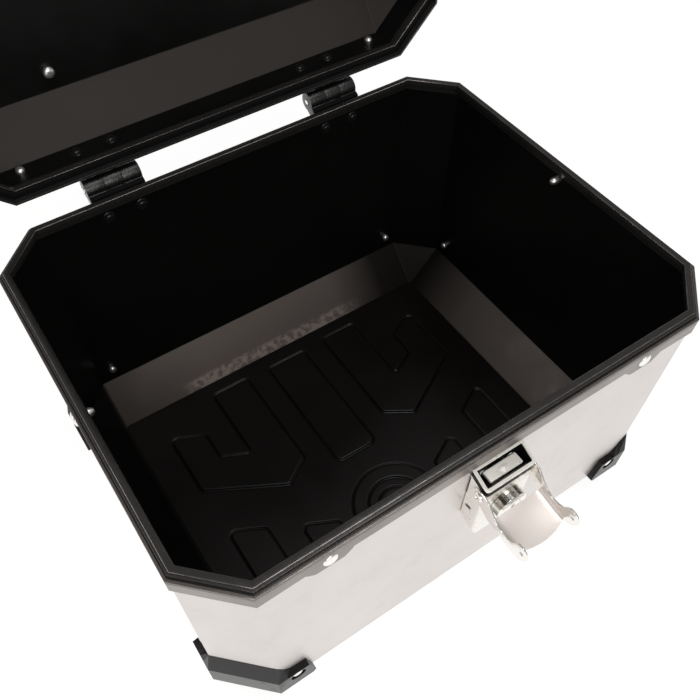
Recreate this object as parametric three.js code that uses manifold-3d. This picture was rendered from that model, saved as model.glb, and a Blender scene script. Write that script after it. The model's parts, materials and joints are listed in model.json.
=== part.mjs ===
// Aluminium motorcycle top case: a folded sheet box with an octagonal plan, a framed rim, a lid on
// two hinges that stands open at a right angle, and a lever latch with a key lock.
// Millimetres, +Z up, +Y towards the hinges, origin at the centre of the mounting plate's underside.
import * as THREE from "three";
import { mergeVertices } from "three/addons/utils/BufferGeometryUtils.js";
import Module from "manifold-3d";

// ---- Driving dimensions -------------------------------------------------------------------------
const LENGTH = 430; // over the rim's upright lip, along X
const WIDTH = 344; // the same, along Y
const CHAMFER = 35.4; // leg of the plan's 45 degree corners
const SHEET = 1.5; // aluminium sheet
const GAP = 0.3; // between pieces that touch
const BODY_DEPTH = 247.3; // rim top down to the middle of the floor sheet
const BODY_FOLD = 210.5; // rim top down to the fold where the walls slope in
const LID_HEIGHT = 66.5; // rim top up to the middle of the lid's top sheet
const LID_FOLD = 35; // rim top up to the lid's fold
const LID_OPEN = Math.PI / 2; // how far the lid stands open
const PLATE_THICKNESS = 4; // mounting plate under the floor
const MAT_THICKNESS = 2.7;
const MAT_PAD_HEIGHT = 0.8;
const MAT_RING = { y: -86, outer: 42, inner: 28.5, boss: 17 };
const PLATE_HALF_X = 140;
const PLATE_HALF_Y = 100;
const PLATE_CORNER = 18;

// Offsets from the face of the rim's upright lip, outwards positive.
const SHEET_OUT = 0.7;
const SHEET_IN = SHEET_OUT - SHEET;
const RIM_IN = -6.5;
const BAND_OUT = 3; // outer face of the trim band and of both rim frames
const BAND_IN = SHEET_OUT + GAP;
const GUARD_OUT = 6.2;
const TONGUE_HEIGHT = 4.2; // upright lip above the ledge
const RIM_THICKNESS = 5.3;
const BODY_LEG_DEPTH = 12; // the rim's inner leg, behind the sheet
const BAND_HEIGHT = 19;
const LID_SHEET_FOOT = 5.6; // rim top up to the lid sheet's edge
const LID_ROOF = 3.5; // roof of the seal's channel
const LID_FLANGE_TOP = 14; // top of the lid frame's outer flange

// Hinges: the axis runs along X, behind the back wall.
const HINGE_X = 105;
const HINGE_WIDTH = 47;
const AXIS_Y = WIDTH / 2 + 15.6;
const AXIS_Z = 0.4;
const KNUCKLE_R = 8;
const PIN_R = 3;
const LID_KNUCKLE = 15.2; // width of the lid's knuckle, between the body's two
const BOLT_SPREAD = 14.5; // from the hinge's middle to each bolt
const BODY_BOLT_Z = -20;
const LID_BOLT_Z = 26;
const LEAF_SHEET = 2.7;
const LEAF_FOOT = -30;
const LEAF_HEAD = 33.5;

// Corner guards, band ears and their rivets.
const GUARD_RIVET_X = 165;
const GUARD_RIVET_Y = 123;
const GUARD_RIVET_Z = -193.5;
const LID_GUARD_RIVET_Z = 26;
const BODY_GUARD_TOP = -150;
const LID_GUARD_FOOT = 14.3;
const GUARD_RECESS_R = 6.6;
const GUARD_RECESS_DEPTH = 2.8;
const EAR_X = 131;
const EAR_DEPTH = 25;
const EAR_TOP_HALF = 14;
const EAR_FOOT_HALF = 10;
const EAR_RIVET_Z = -15.5;

// Fasteners.
const SHANK_R = 2.2;
const BOLT_R = 2.5;
const HOLE_CLEARANCE = 0.35;
const DRILL_REACH = 12; // how far a drilled hole runs to each side of a wall
const GUARD_RIVET_HEAD = { r: 5, height: 2.4 };
const BAND_RIVET_HEAD = { r: 5.6, height: 2.6 };
const GUARD_RIVET_TAIL_R = 3.8;

// Tie-down loops on the lid.
const LOOP_X = 112;
const LOOP_Y = 124;
const LOOP_BAR_R = 2.6;
const LOOP_FOOT = { halfX: 27, halfY: 8, corner: 5, height: 2.5 };

// Latch: lever pivot, lock and strike bar, on the front wall.
const PIVOT_Y = -185;
const PIVOT_Z = -38;
const HOUSING_HALF = 21;
const HOUSING_FRONT = -189.5;
const HOUSING_SHEET = 1.5;
const LEVER_INSIDE = HOUSING_HALF + GAP;
const LEVER_SHEET = 1.5;
const LOCK_Z = -57;
const BARREL_R = 11;
const BARREL_BACK = -181;
const BARREL_FACE = 3.2; // how far the barrel's collar stands out of the housing
const PLUG_R = 6.5;
const PLUG_BACK = -179.3;
const CAM_THICKNESS = 1.5;
const BOLT_PLATE = 1.4;
const BAR_Y = -188; // strike bar, with the lid shut
const BAR_Z = -6.5;
const BAR_R = 2;
const BAR_HALF = 24.5;

// Derived places.
const wallX = LENGTH / 2;
const wallY = WIDTH / 2;
const LEAF_WALL = wallY + SHEET_OUT + GAP;
const LEAF_BACK = wallY + BAND_OUT + GAP;
const LEAF_FRONT = LEAF_BACK + LEAF_SHEET;
const PLUG_FRONT = HOUSING_FRONT - GAP - BARREL_FACE - 0.2;
const STEM_FRONT = PLUG_BACK + GAP + CAM_THICKNESS + GAP;
const RECESS_SEAT = GUARD_OUT - GUARD_RECESS_DEPTH + GAP;
const RIM_Z = PLATE_THICKNESS + GAP + BODY_DEPTH + SHEET_OUT;

// ---- Solids: closed geometries and their booleans ----------------------------------------------
const wasm = await Module();
wasm.setup();

function signedVolume(geometry) {
  const p = geometry.getAttribute("position");
  const corner = (i) => new THREE.Vector3().fromBufferAttribute(p, geometry.index.getX(i));
  let volume = 0;
  for (let i = 0; i < geometry.index.count; i += 3) {
    volume += corner(i).dot(corner(i + 1).cross(corner(i + 2)));
  }
  return volume;
}

// The geometry with merged vertices and its faces pointing out.
function clean(geometry) {
  const bare = new THREE.BufferGeometry();
  const source = geometry.index ? geometry.toNonIndexed() : geometry;
  bare.setAttribute("position", source.getAttribute("position"));
  const merged = mergeVertices(bare, 1e-4);
  if (signedVolume(merged) < 0) {
    const index = merged.index.array;
    for (let i = 0; i < index.length; i += 3) [index[i], index[i + 1]] = [index[i + 1], index[i]];
  }
  return merged;
}

function toSolid(geometry) {
  const merged = clean(geometry);
  return new wasm.Manifold(
    new wasm.Mesh({
      numProp: 3,
      vertProperties: new Float32Array(merged.getAttribute("position").array),
      triVerts: new Uint32Array(merged.index.array),
    }),
  );
}

function toGeometry(solid) {
  const mesh = solid.getMesh();
  const geometry = new THREE.BufferGeometry();
  geometry.setAttribute("position", new THREE.BufferAttribute(mesh.vertProperties, 3));
  geometry.setIndex(new THREE.BufferAttribute(mesh.triVerts, 1));
  return geometry;
}

const join = (...pieces) => toGeometry(pieces.map(toSolid).reduce((a, b) => a.add(b)));
const cut = (base, ...tools) =>
  toGeometry(tools.map(toSolid).reduce((a, b) => a.subtract(b), toSolid(base)));
const common = (a, b) => toGeometry(toSolid(a).intersect(toSolid(b)));

// ---- Shapes -------------------------------------------------------------------------------------
function triangles(list) {
  const geometry = new THREE.BufferGeometry();
  const flat = list.flatMap((t) => t.flatMap((v) => v.toArray()));
  geometry.setAttribute("position", new THREE.Float32BufferAttribute(flat, 3));
  return geometry;
}

// Triangles between neighbouring rings of equal length; corners that coincide give one triangle.
function skin(rings, closed) {
  const out = [];
  const last = closed ? rings.length : rings.length - 1;
  const add = (a, b, c) => {
    const degenerate = a.distanceTo(b) < 1e-6 || b.distanceTo(c) < 1e-6 || c.distanceTo(a) < 1e-6;
    if (!degenerate) out.push([a, b, c]);
  };
  for (let r = 0; r < last; r++) {
    const low = rings[r];
    const high = rings[(r + 1) % rings.length];
    for (let i = 0; i < low.length; i++) {
      const j = (i + 1) % low.length;
      add(low[i], low[j], high[j]);
      add(low[i], high[j], high[i]);
    }
  }
  return out;
}

function fan(ring, reversed) {
  const out = [];
  for (let i = 1; i < ring.length - 1; i++) {
    const [a, b, c] = [ring[0], ring[i], ring[i + 1]];
    const flat = new THREE.Vector3().subVectors(b, a).cross(new THREE.Vector3().subVectors(c, a));
    if (flat.length() > 1e-6) out.push(reversed ? [a, c, b] : [a, b, c]);
  }
  return out;
}

// A solid through a stack of convex rings, capped at both ends.
function loft(rings) {
  return triangles([...skin(rings, false), ...fan(rings[0], true), ...fan(rings.at(-1), false)]);
}

// The plan's octagon, moved out by offset, at height z.
function octagon(offset, z) {
  const a = LENGTH / 2 + offset;
  const b = WIDTH / 2 + offset;
  const c = CHAMFER + (2 - Math.SQRT2) * offset;
  const quarter = [[a, b - c], [a - c, b]];
  const points = [
    ...quarter,
    ...quarter.map(([x, y]) => [-x, y]).reverse(),
    ...quarter.map(([x, y]) => [-x, -y]),
    ...quarter.map(([x, y]) => [x, -y]).reverse(),
  ];
  return points.map(([x, y]) => new THREE.Vector3(x, y, z));
}

// The box's end rectangle, as a ring of eight whose corners are doubled.
function rectangle(halfX, halfY, z) {
  const corners = [[1, 1], [-1, 1], [-1, -1], [1, -1]];
  return corners.flatMap(([sx, sy]) => {
    const corner = new THREE.Vector3(sx * halfX, sy * halfY, z);
    return [corner, corner.clone()];
  });
}

// A profile of (offset, z) points carried round the octagon: a closed frame.
function frame(profile) {
  return triangles(skin(profile.map(([offset, z]) => octagon(offset, z)), true));
}

// The rings of a folded box surface at the given offset: end rectangle, fold and mouth.
function boxRings(offset, side, fold, end, mouth) {
  const inset = end - fold;
  const spread = (Math.SQRT2 - 1) * offset;
  return [
    rectangle(LENGTH / 2 - inset + spread, WIDTH / 2 - inset + spread, side * (end + offset)),
    octagon(offset, side * (fold + spread)),
    octagon(offset, mouth),
  ];
}

const bodyRings = (offset, mouth) => boxRings(offset, -1, BODY_FOLD, BODY_DEPTH, mouth);
const lidRings = (offset, mouth) => boxRings(offset, 1, LID_FOLD, LID_HEIGHT, mouth);

// A sheet box, open at its mouth.
function sheetBox(ringsAt, mouth) {
  const outer = ringsAt(SHEET_OUT, mouth);
  const inner = ringsAt(SHEET_IN, mouth).reverse();
  return loft([...outer, ...inner]);
}

const shapeOf = (points) => new THREE.Shape(points.map(([x, y]) => new THREE.Vector2(x, y)));

function extrude(outline, depth) {
  const shape = outline instanceof THREE.Shape ? outline : shapeOf(outline);
  return new THREE.ExtrudeGeometry(shape, { depth, bevelEnabled: false, curveSegments: 12 });
}

const arcPoints = (cx, cy, r, from, to, steps) =>
  Array.from({ length: steps + 1 }, (_, i) => {
    const angle = from + ((to - from) * i) / steps;
    return [cx + r * Math.cos(angle), cy + r * Math.sin(angle)];
  });

// Outlines in (y, z), (x, z) and (x, y), extruded along the third axis between a and b.
function alongX(points, a, b) {
  const [from, to] = [Math.min(a, b), Math.max(a, b)];
  const turn = new THREE.Matrix4().makeBasis(
    new THREE.Vector3(0, 1, 0),
    new THREE.Vector3(0, 0, 1),
    new THREE.Vector3(1, 0, 0),
  );
  return extrude(points, to - from).applyMatrix4(turn).translate(from, 0, 0);
}

function alongY(points, a, b) {
  const [from, to] = [Math.min(a, b), Math.max(a, b)];
  return extrude(points, to - from).rotateX(Math.PI / 2).translate(0, to, 0);
}

function alongZ(points, from, to) {
  return extrude(points, to - from).translate(0, 0, from);
}

function block(x0, x1, y0, y1, z0, z1) {
  const box = new THREE.BoxGeometry(x1 - x0, y1 - y0, z1 - z0);
  return box.translate((x0 + x1) / 2, (y0 + y1) / 2, (z0 + z1) / 2);
}

function rodX(r, x0, x1, y, z, sides = 14) {
  const rod = new THREE.CylinderGeometry(r, r, Math.abs(x1 - x0), sides);
  return rod.rotateZ(Math.PI / 2).translate((x0 + x1) / 2, y, z);
}

function rodY(r, y0, y1, x, z, sides = 14) {
  return new THREE.CylinderGeometry(r, r, Math.abs(y1 - y0), sides).translate(x, (y0 + y1) / 2, z);
}

// Drilled holes that cross a wall at x or y.
const drillX = (r, x, y, z) => rodX(r, x - DRILL_REACH, x + DRILL_REACH, y, z, 12);
const drillY = (r, x, y, z) => rodY(r, y - DRILL_REACH, y + DRILL_REACH, x, z, 12);

function roundedRectangle(halfX, halfY, r, steps = 3) {
  const quadrants = [[1, 1], [-1, 1], [-1, -1], [1, -1]];
  return quadrants.flatMap(([sx, sy], i) => {
    const start = (i * Math.PI) / 2;
    return arcPoints(sx * (halfX - r), sy * (halfY - r), r, start, start + Math.PI / 2, steps);
  });
}

// A turned piece about +Y from (radius, height) points.
const turned = (points, sides = 12) =>
  new THREE.LatheGeometry(points.map(([r, h]) => new THREE.Vector2(r, h)), sides);

// A domed rivet that points along +Y: head on the seat, shank and, with a tailR, a tail inside.
function rivet(head, grip, tailR) {
  const dome = [0, 0.25, 0.5].map((turn) => {
    const rise = 0.3 + 0.7 * Math.sin(turn * Math.PI);
    return [head.r * Math.cos(turn * Math.PI), head.height * rise];
  });
  dome.at(-1)[0] = 0;
  const plainTail = [[0, -grip]];
  const setTail = [[0, -grip - 1.6], [0.7 * tailR, -grip - 1.4], [tailR, -grip]];
  const tail = tailR ? setTail : plainTail;
  return turned([...tail, [SHANK_R, -grip], [SHANK_R, 0], [head.r, 0], ...dome]);
}

// A pin about X with a flat head at each end.
function headedPin(half, r, headR, head, x, y, z) {
  const profile = [
    [0, -half - head],
    [headR, -half - head],
    [headR, -half],
    [r, -half],
    [r, half],
    [headR, half],
    [headR, half + head],
    [0, half + head],
  ];
  return turned(profile).rotateZ(Math.PI / 2).translate(x, y, z);
}

// ---- Materials ----------------------------------------------------------------------------------
const finish = (color, roughness, metalness) =>
  new THREE.MeshStandardMaterial({ color, roughness, metalness });
const ALUMINIUM = finish(0xd8d5d2, 0.38, 0.9);
const BAND_SILVER = finish(0xa3a09b, 0.42, 0.9);
const RIM_BLACK = finish(0x2b2a2a, 0.45, 0.6);
const RUBBER = finish(0x4a4441, 0.7, 0);
const SEAL_RUBBER = finish(0x141414, 0.85, 0);
const GUARD_PLASTIC = finish(0x241f1f, 0.5, 0);
const HINGE_PAINT = finish(0x1b1b1b, 0.5, 0.4);
const LATCH_STEEL = finish(0xcfc8bb, 0.22, 1);
const LOCK_STEEL = finish(0xbdbdbd, 0.25, 1);
const FASTENER = finish(0xc9c9c9, 0.3, 1);
const PLATE_PAINT = finish(0x2f2f30, 0.55, 0.5);

function piece(group, name, geometry, material) {
  const mesh = new THREE.Mesh(clean(geometry), material.clone());
  mesh.name = name;
  group.add(mesh);
  return mesh;
}

// ---- Body: sheet, rim frame, trim band and mat -------------------------------------------------
const CORNERS = [
  ["front_left", -1, -1],
  ["front_right", 1, -1],
  ["back_left", -1, 1],
  ["back_right", 1, 1],
];
const SIDES = [["left", -1], ["right", 1]];
const rivetHoleR = SHANK_R + HOLE_CLEARANCE;
const boltHoleR = BOLT_R + HOLE_CLEARANCE;

// Holes for the two rivets of one corner's guard, through wall and guard.
const guardRivetHoles = (sx, sy, z) => [
  drillY(rivetHoleR, sx * GUARD_RIVET_X, sy * wallY, z),
  drillX(rivetHoleR, sx * wallX, sy * GUARD_RIVET_Y, z),
];
const allGuardHoles = (z) => CORNERS.flatMap(([, sx, sy]) => guardRivetHoles(sx, sy, z));

const boltXs = (middle) => [middle - BOLT_SPREAD, middle + BOLT_SPREAD];
const leafHoles = (middle, z) => boltXs(middle).map((x) => drillY(boltHoleR, x, wallY, z));
const hingeBoltHoles = (z) => SIDES.flatMap(([, side]) => leafHoles(side * HINGE_X, z));

function bodyShell() {
  const sheet = sheetBox(bodyRings, -RIM_THICKNESS - GAP);
  return cut(sheet, ...allGuardHoles(GUARD_RIVET_Z), ...hingeBoltHoles(BODY_BOLT_Z));
}

function bodyRimFrame() {
  const legIn = SHEET_IN - GAP;
  return frame([
    [RIM_IN, 0],
    [RIM_IN, -RIM_THICKNESS],
    [legIn - SHEET, -RIM_THICKNESS],
    [legIn - SHEET, -BODY_LEG_DEPTH],
    [legIn, -BODY_LEG_DEPTH],
    [legIn, -RIM_THICKNESS],
    [BAND_OUT, -RIM_THICKNESS],
    [BAND_OUT, -TONGUE_HEIGHT],
    [0, -TONGUE_HEIGHT],
    [0, -0.8],
    [-0.8, 0],
  ]);
}

// A trapezoid ear that hangs from the band, in its own (along, z) plane.
const earOutline = (middle) => [
  [middle - EAR_TOP_HALF, -BAND_HEIGHT + 1],
  [middle - EAR_FOOT_HALF, -EAR_DEPTH],
  [middle + EAR_FOOT_HALF, -EAR_DEPTH],
  [middle + EAR_TOP_HALF, -BAND_HEIGHT + 1],
];

function trimBand() {
  const top = -RIM_THICKNESS - GAP;
  const band = frame([
    [BAND_IN, top],
    [BAND_IN, -BAND_HEIGHT],
    [BAND_OUT, -BAND_HEIGHT],
    [BAND_OUT, top],
  ]);
  const ears = SIDES.flatMap(([, side]) => [
    alongY(earOutline(side * EAR_X), -wallY - BAND_OUT, -wallY - BAND_IN),
    alongX(earOutline(0), side * (wallX + BAND_IN), side * (wallX + BAND_OUT)),
  ]);
  const holes = SIDES.flatMap(([, side]) => [
    drillY(rivetHoleR, side * EAR_X, -wallY, EAR_RIVET_Z),
    drillX(rivetHoleR, side * wallX, 0, EAR_RIVET_Z),
  ]);
  return cut(join(band, ...ears), ...holes, ...hingeBoltHoles(BODY_BOLT_Z));
}

// Raised pads of the floor mat, as (x, y) outlines: three on each side, a bar, a ring and a boss.
function matPads() {
  const hook = [
    [48, 120],
    [48, 6],
    [75, -11.5],
    [148, 28.5],
    [148, 97],
    [117, 81.5],
    [117, 51.5],
    [87, 37],
    [87, 120],
  ];
  const outerBar = [[117, -39], [117, -120], [148, -120], [148, -22.5]];
  const innerBar = [[57, -70.5], [57, -120], [88, -120], [88, -61], [84, -57]];
  const middleHalf = [[17.5, -17.5], [21.5, -13.5], [21.5, 118]];
  const oneSide = [hook, outerBar, innerBar];
  const mirrored = (outline) => outline.map(([x, y]) => [-x, y]);
  const middleBar = [...mirrored(middleHalf).reverse(), ...middleHalf];
  const ring = new THREE.Shape().absarc(0, MAT_RING.y, MAT_RING.outer, 0, 2 * Math.PI);
  ring.holes.push(new THREE.Path().absarc(0, MAT_RING.y, MAT_RING.inner, 0, 2 * Math.PI, true));
  const boss = new THREE.Shape().absarc(0, MAT_RING.y, MAT_RING.boss, 0, 2 * Math.PI);
  return [...oneSide, ...oneSide.map(mirrored), middleBar, ring, boss];
}

// The mat's foot stays 0.5 inside the sloped sheet, and its top edge 1.7, clear of the corner facets.
function floorMat() {
  const low = -BODY_DEPTH - SHEET_IN + GAP;
  const top = low + MAT_THICKNESS;
  const slopeAt = (z) => z + BODY_FOLD + Math.SQRT2 * SHEET_IN;
  const foot = slopeAt(low) - 0.5;
  const edge = slopeAt(top) - 1.7;
  const base = loft([
    rectangle(wallX + foot, wallY + foot, low),
    rectangle(wallX + edge, wallY + edge, top),
  ]);
  return join(base, ...matPads().map((outline) => alongZ(outline, top - 1, top + MAT_PAD_HEIGHT)));
}

function mountingPlate() {
  const floor = -BODY_DEPTH - SHEET_OUT - GAP;
  const outline = roundedRectangle(PLATE_HALF_X, PLATE_HALF_Y, PLATE_CORNER);
  return alongZ(outline, floor - PLATE_THICKNESS, floor);
}

// ---- Corner guards ------------------------------------------------------------------------------
// Outline of a guard's tab on one wall, about the wall's rivet. `side` is 1 where the corner lies at
// larger coordinates, and `up` is 1 where the box's mouth lies above the rivet.
function tabOutline(rivetAt, rivetZ, side, up) {
  const points = [
    [-19, -13],
    [-18, 9],
    [-12, 14],
    [11, 21],
    [18, 32],
    [80, 32],
    [80, -50],
    [16, -50],
    [-6, -27],
  ];
  return points.map(([along, z]) => [side * (rivetAt + along), rivetZ + up * z]);
}

// A guard is the layer just outside the box's corner, bounded by a tab outline on either wall.
function cornerGuard(sx, sy, ringsAt, mouth, rivetZ, up) {
  const hull = (offset) => loft(ringsAt(offset, mouth));
  const layer = cut(hull(GUARD_OUT), hull(SHEET_OUT + GAP));
  const [inwards, outwards] = [54, 44];
  const wallTab = alongY(
    tabOutline(GUARD_RIVET_X, rivetZ, sx, up),
    sy * (wallY - inwards),
    sy * (wallY + outwards),
  );
  const sideTab = alongX(
    tabOutline(GUARD_RIVET_Y, rivetZ, sy, up),
    sx * (wallX - inwards),
    sx * (wallX + outwards),
  );
  const bottom = GUARD_OUT - GUARD_RECESS_DEPTH;
  const outside = GUARD_OUT + 1;
  const recessAt = (wall, sign) => [sign * (wall + bottom), sign * (wall + outside)];
  const recesses = [
    rodY(GUARD_RECESS_R, ...recessAt(wallY, sy), sx * GUARD_RIVET_X, rivetZ),
    rodX(GUARD_RECESS_R, ...recessAt(wallX, sx), sy * GUARD_RIVET_Y, rivetZ),
  ];
  return cut(common(layer, join(wallTab, sideTab)), ...recesses, ...guardRivetHoles(sx, sy, rivetZ));
}

// ---- Hinges -------------------------------------------------------------------------------------
// A leaf: its flat plate, and a web and a knuckle for each (from, to) stretch along the axis.
function hingeLeaf(middle, plate, web, knuckles, boltZ) {
  const left = middle - HINGE_WIDTH / 2;
  const right = middle + HINGE_WIDTH / 2;
  const arms = knuckles.flatMap(([from, to]) => [
    alongX(web, middle + from, middle + to),
    rodX(KNUCKLE_R, middle + from, middle + to, AXIS_Y, AXIS_Z, 20),
  ]);
  const bore = rodX(PIN_R + GAP, left - 1, right + 1, AXIS_Y, AXIS_Z, 12);
  return cut(join(alongX(plate, left, right), ...arms), bore, ...leafHoles(middle, boltZ));
}

// The body's leaf steps over the trim band and carries the two outer knuckles.
function bodyLeaf(middle) {
  const step = -BAND_HEIGHT - GAP;
  const plate = [
    [LEAF_WALL, LEAF_FOOT],
    [LEAF_FRONT, LEAF_FOOT],
    [LEAF_FRONT, -7],
    [LEAF_BACK, -7],
    [LEAF_BACK, step],
    [LEAF_WALL, step],
  ];
  const web = [
    [LEAF_BACK, -14],
    [LEAF_FRONT, -14],
    [AXIS_Y + 1, -7],
    [AXIS_Y, -1],
    [LEAF_FRONT + 2, -1],
    [LEAF_BACK, -6],
  ];
  const inner = LID_KNUCKLE / 2 + GAP;
  const outer = HINGE_WIDTH / 2;
  return hingeLeaf(middle, plate, web, [[-outer, -inner], [inner, outer]], BODY_BOLT_Z);
}

// The lid's leaf steps over the lid frame's flange and carries the middle knuckle.
function lidLeaf(middle) {
  const step = LID_FLANGE_TOP + GAP;
  const plate = [
    [LEAF_BACK, 7.8],
    [LEAF_FRONT, 7.8],
    [LEAF_FRONT, LEAF_HEAD],
    [LEAF_WALL, LEAF_HEAD],
    [LEAF_WALL, step],
    [LEAF_BACK, step],
  ];
  const web = [
    [LEAF_BACK, 6.8],
    [LEAF_FRONT + 2, 1.8],
    [AXIS_Y, 1.8],
    [AXIS_Y + 1, 7.8],
    [LEAF_FRONT, 16.8],
    [LEAF_BACK, 16.8],
  ];
  const half = LID_KNUCKLE / 2;
  return hingeLeaf(middle, plate, web, [[-half, half]], LID_BOLT_Z);
}

const hingePin = (middle) =>
  headedPin(HINGE_WIDTH / 2 + GAP, PIN_R - 0.1, 4.6, 1.6, middle, AXIS_Y, AXIS_Z);

// A hinge bolt: a button head outside the leaf, a shank through the wall and a nut inside.
function hingeBolt(x, z) {
  const head = LEAF_FRONT + GAP;
  const inside = wallY + SHEET_IN - GAP;
  const button = turned([[0, 0], [4.6, 0], [4.6, 1.4], [2.8, 2.8], [0, 2.8]]).translate(x, head, z);
  const nut = rodY(4.4, inside - 3, inside, x, z, 6);
  const shank = rodY(BOLT_R, inside - 4, head + 0.5, x, z, 8);
  return join(button, nut, shank);
}

// ---- Lid ----------------------------------------------------------------------------------------
function lidShell() {
  const sheet = sheetBox(lidRings, LID_SHEET_FOOT);
  return cut(sheet, ...allGuardHoles(LID_GUARD_RIVET_Z), ...hingeBoltHoles(LID_BOLT_Z));
}

// The lid's frame: an outer flange with a V groove, a leg behind the sheet, and a channel for the
// seal between an inner and an outer lip.
function lidRimFrame() {
  const legIn = SHEET_IN - GAP;
  const lipFoot = -TONGUE_HEIGHT + GAP;
  const shoulder = LID_SHEET_FOOT - GAP;
  const groove = { z: 6.9, half: 0.7, depth: 0.7 };
  const channelIn = RIM_IN + 0.9;
  const channelOut = 1;
  return frame([
    [BAND_OUT, lipFoot],
    [BAND_OUT, groove.z - groove.half],
    [BAND_OUT - groove.depth, groove.z],
    [BAND_OUT, groove.z + groove.half],
    [BAND_OUT, LID_FLANGE_TOP],
    [BAND_IN, LID_FLANGE_TOP],
    [BAND_IN, shoulder],
    [legIn, shoulder],
    [legIn, BODY_LEG_DEPTH],
    [legIn - SHEET, BODY_LEG_DEPTH],
    [legIn - SHEET, shoulder],
    [RIM_IN, shoulder],
    [RIM_IN, 0.5],
    [channelIn, 0.5],
    [channelIn, LID_ROOF],
    [channelOut, LID_ROOF],
    [channelOut, lipFoot],
  ]);
}

function lidSeal() {
  const inner = RIM_IN + 0.9 + GAP;
  const outer = 1 - GAP;
  const top = LID_ROOF - GAP;
  return frame([
    [inner, top],
    [inner, 1.2],
    [inner + 1, 0.4],
    [outer - 1.3, 0.4],
    [outer, 1.2],
    [outer, top],
  ]);
}

// A tie-down loop: a bent round bar standing on a foot plate.
function tieDownLoop(x, y) {
  const seat = LID_HEIGHT + SHEET_OUT + GAP;
  const outline = roundedRectangle(LOOP_FOOT.halfX, LOOP_FOOT.halfY, LOOP_FOOT.corner);
  const foot = alongZ(outline, seat, seat + LOOP_FOOT.height);
  const half = [[9, 13.5], [13.5, 12], [16, 8], [16, 1]];
  const bend = [...half.map(([px, pz]) => [-px, pz]).reverse(), ...half];
  const route = bend.map(([px, pz]) => new THREE.Vector3(px, 0, seat + pz));
  const extrudePath = new THREE.CatmullRomCurve3(route, false, "chordal");
  const section = shapeOf(arcPoints(0, 0, LOOP_BAR_R, 0, 1.75 * Math.PI, 7));
  const bar = new THREE.ExtrudeGeometry(section, { steps: 14, bevelEnabled: false, extrudePath });
  return join(foot, bar).translate(x, y, 0);
}

// The strike: a plate on the lid's front with two ears that carry the bar.
function lidStrike() {
  const wall = -wallY - SHEET_OUT - GAP;
  const front = -wallY - BAND_OUT - GAP;
  const face = front - 2;
  const step = LID_FLANGE_TOP + GAP;
  const head = 31;
  const outline = [[front, 0], [front, step], [wall, step], [wall, head], [face, head], [face, 0]];
  const ear = [
    [face + 1, 14],
    [face + 1, 0.5],
    [BAR_Y + 5, BAR_Z - 5],
    [BAR_Y - 4, BAR_Z - 5],
    [BAR_Y - 4, BAR_Z + 5],
    [face - 4, 11],
  ];
  const ears = SIDES.map(([, side]) => alongX(ear, side * 15, side * 17));
  return cut(join(alongX(outline, -19, 19), ...ears), rodX(BAR_R + GAP, -20, 20, BAR_Y, BAR_Z, 16));
}

const strikeBar = () => rodX(BAR_R, -BAR_HALF, BAR_HALF, BAR_Y, BAR_Z, 16);

// ---- Latch --------------------------------------------------------------------------------------
// A sheet box open at the top, with a hole for the lock in its front.
function latchHousing() {
  const back = -wallY - SHEET_OUT - GAP;
  const front = HOUSING_FRONT;
  const [backInside, frontInside] = [back - 1.2, front + HOUSING_SHEET];
  const outline = [[back, -21], [back, -83.5], [front, -92], [front, -28]];
  const inside = [[backInside, -10], [backInside, -81.5], [frontInside, -89.5], [frontInside, -10]];
  const half = HOUSING_HALF - HOUSING_SHEET;
  const outer = alongX(outline, -HOUSING_HALF, HOUSING_HALF);
  const hollow = alongX(inside, -half, half);
  const pinHole = rodX(BAR_R + GAP, -BAR_HALF, BAR_HALF, PIVOT_Y, PIVOT_Z, 16);
  const lockHole = rodY(BARREL_R + GAP, front - 3, front + 3, 0, LOCK_Z, 24);
  return cut(outer, hollow, pinHole, lockHole);
}

// The lock's barrel: a sleeve with a collar outside the housing.
function lockBarrel() {
  const seat = BARREL_BACK - (HOUSING_FRONT - GAP);
  const bore = PLUG_R + 0.4;
  const profile = [
    [bore, 0],
    [BARREL_R, 0],
    [BARREL_R, seat],
    [BARREL_R + 1.6, seat],
    [BARREL_R + 1.6, seat + BARREL_FACE / 2],
    [BARREL_R + 0.4, seat + BARREL_FACE],
    [bore, seat + BARREL_FACE],
    [bore, 0],
  ];
  return turned(profile, 24).rotateX(Math.PI).translate(0, BARREL_BACK, LOCK_Z);
}

function lockPlug() {
  const keyway = { halfX: 1.1, halfZ: 4.2, depth: 6 };
  const slot = block(
    -keyway.halfX,
    keyway.halfX,
    PLUG_FRONT - 1,
    PLUG_FRONT + keyway.depth,
    LOCK_Z - keyway.halfZ,
    LOCK_Z + keyway.halfZ,
  );
  return cut(rodY(PLUG_R, PLUG_FRONT, PLUG_BACK, 0, LOCK_Z, 24), slot);
}

// The cam behind the plug, pointing down while the lock is open.
function lockCam() {
  const outline = new THREE.Shape();
  outline.absarc(0, LOCK_Z, 5, -0.25 * Math.PI, 1.25 * Math.PI);
  outline.absarc(0, LOCK_Z - 9, 2.4, 1.2 * Math.PI, 1.8 * Math.PI);
  return alongY(outline, PLUG_BACK + GAP, PLUG_BACK + GAP + CAM_THICKNESS);
}

// The bolt: a bent plate whose flange shows in the housing's mouth and whose stem runs down behind.
function lockBolt() {
  const stemBack = STEM_FRONT + BOLT_PLATE;
  const stem = block(-6, 6, STEM_FRONT, stemBack, -70, -28);
  const flange = block(-12.5, 12.5, -184, stemBack, -29, -26.5);
  return join(stem, flange);
}

// The guide: a strap behind the housing's mouth with a slot for the bolt's stem.
function boltGuide() {
  const back = -wallY - SHEET_OUT - GAP - 1.2 - GAP;
  const strap = block(-9, 9, PLUG_BACK - GAP, back, -41, -35);
  const slot = block(-6.4, 6.4, STEM_FRONT - 0.4, back + 1, -50, -30);
  return cut(strap, slot);
}

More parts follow.
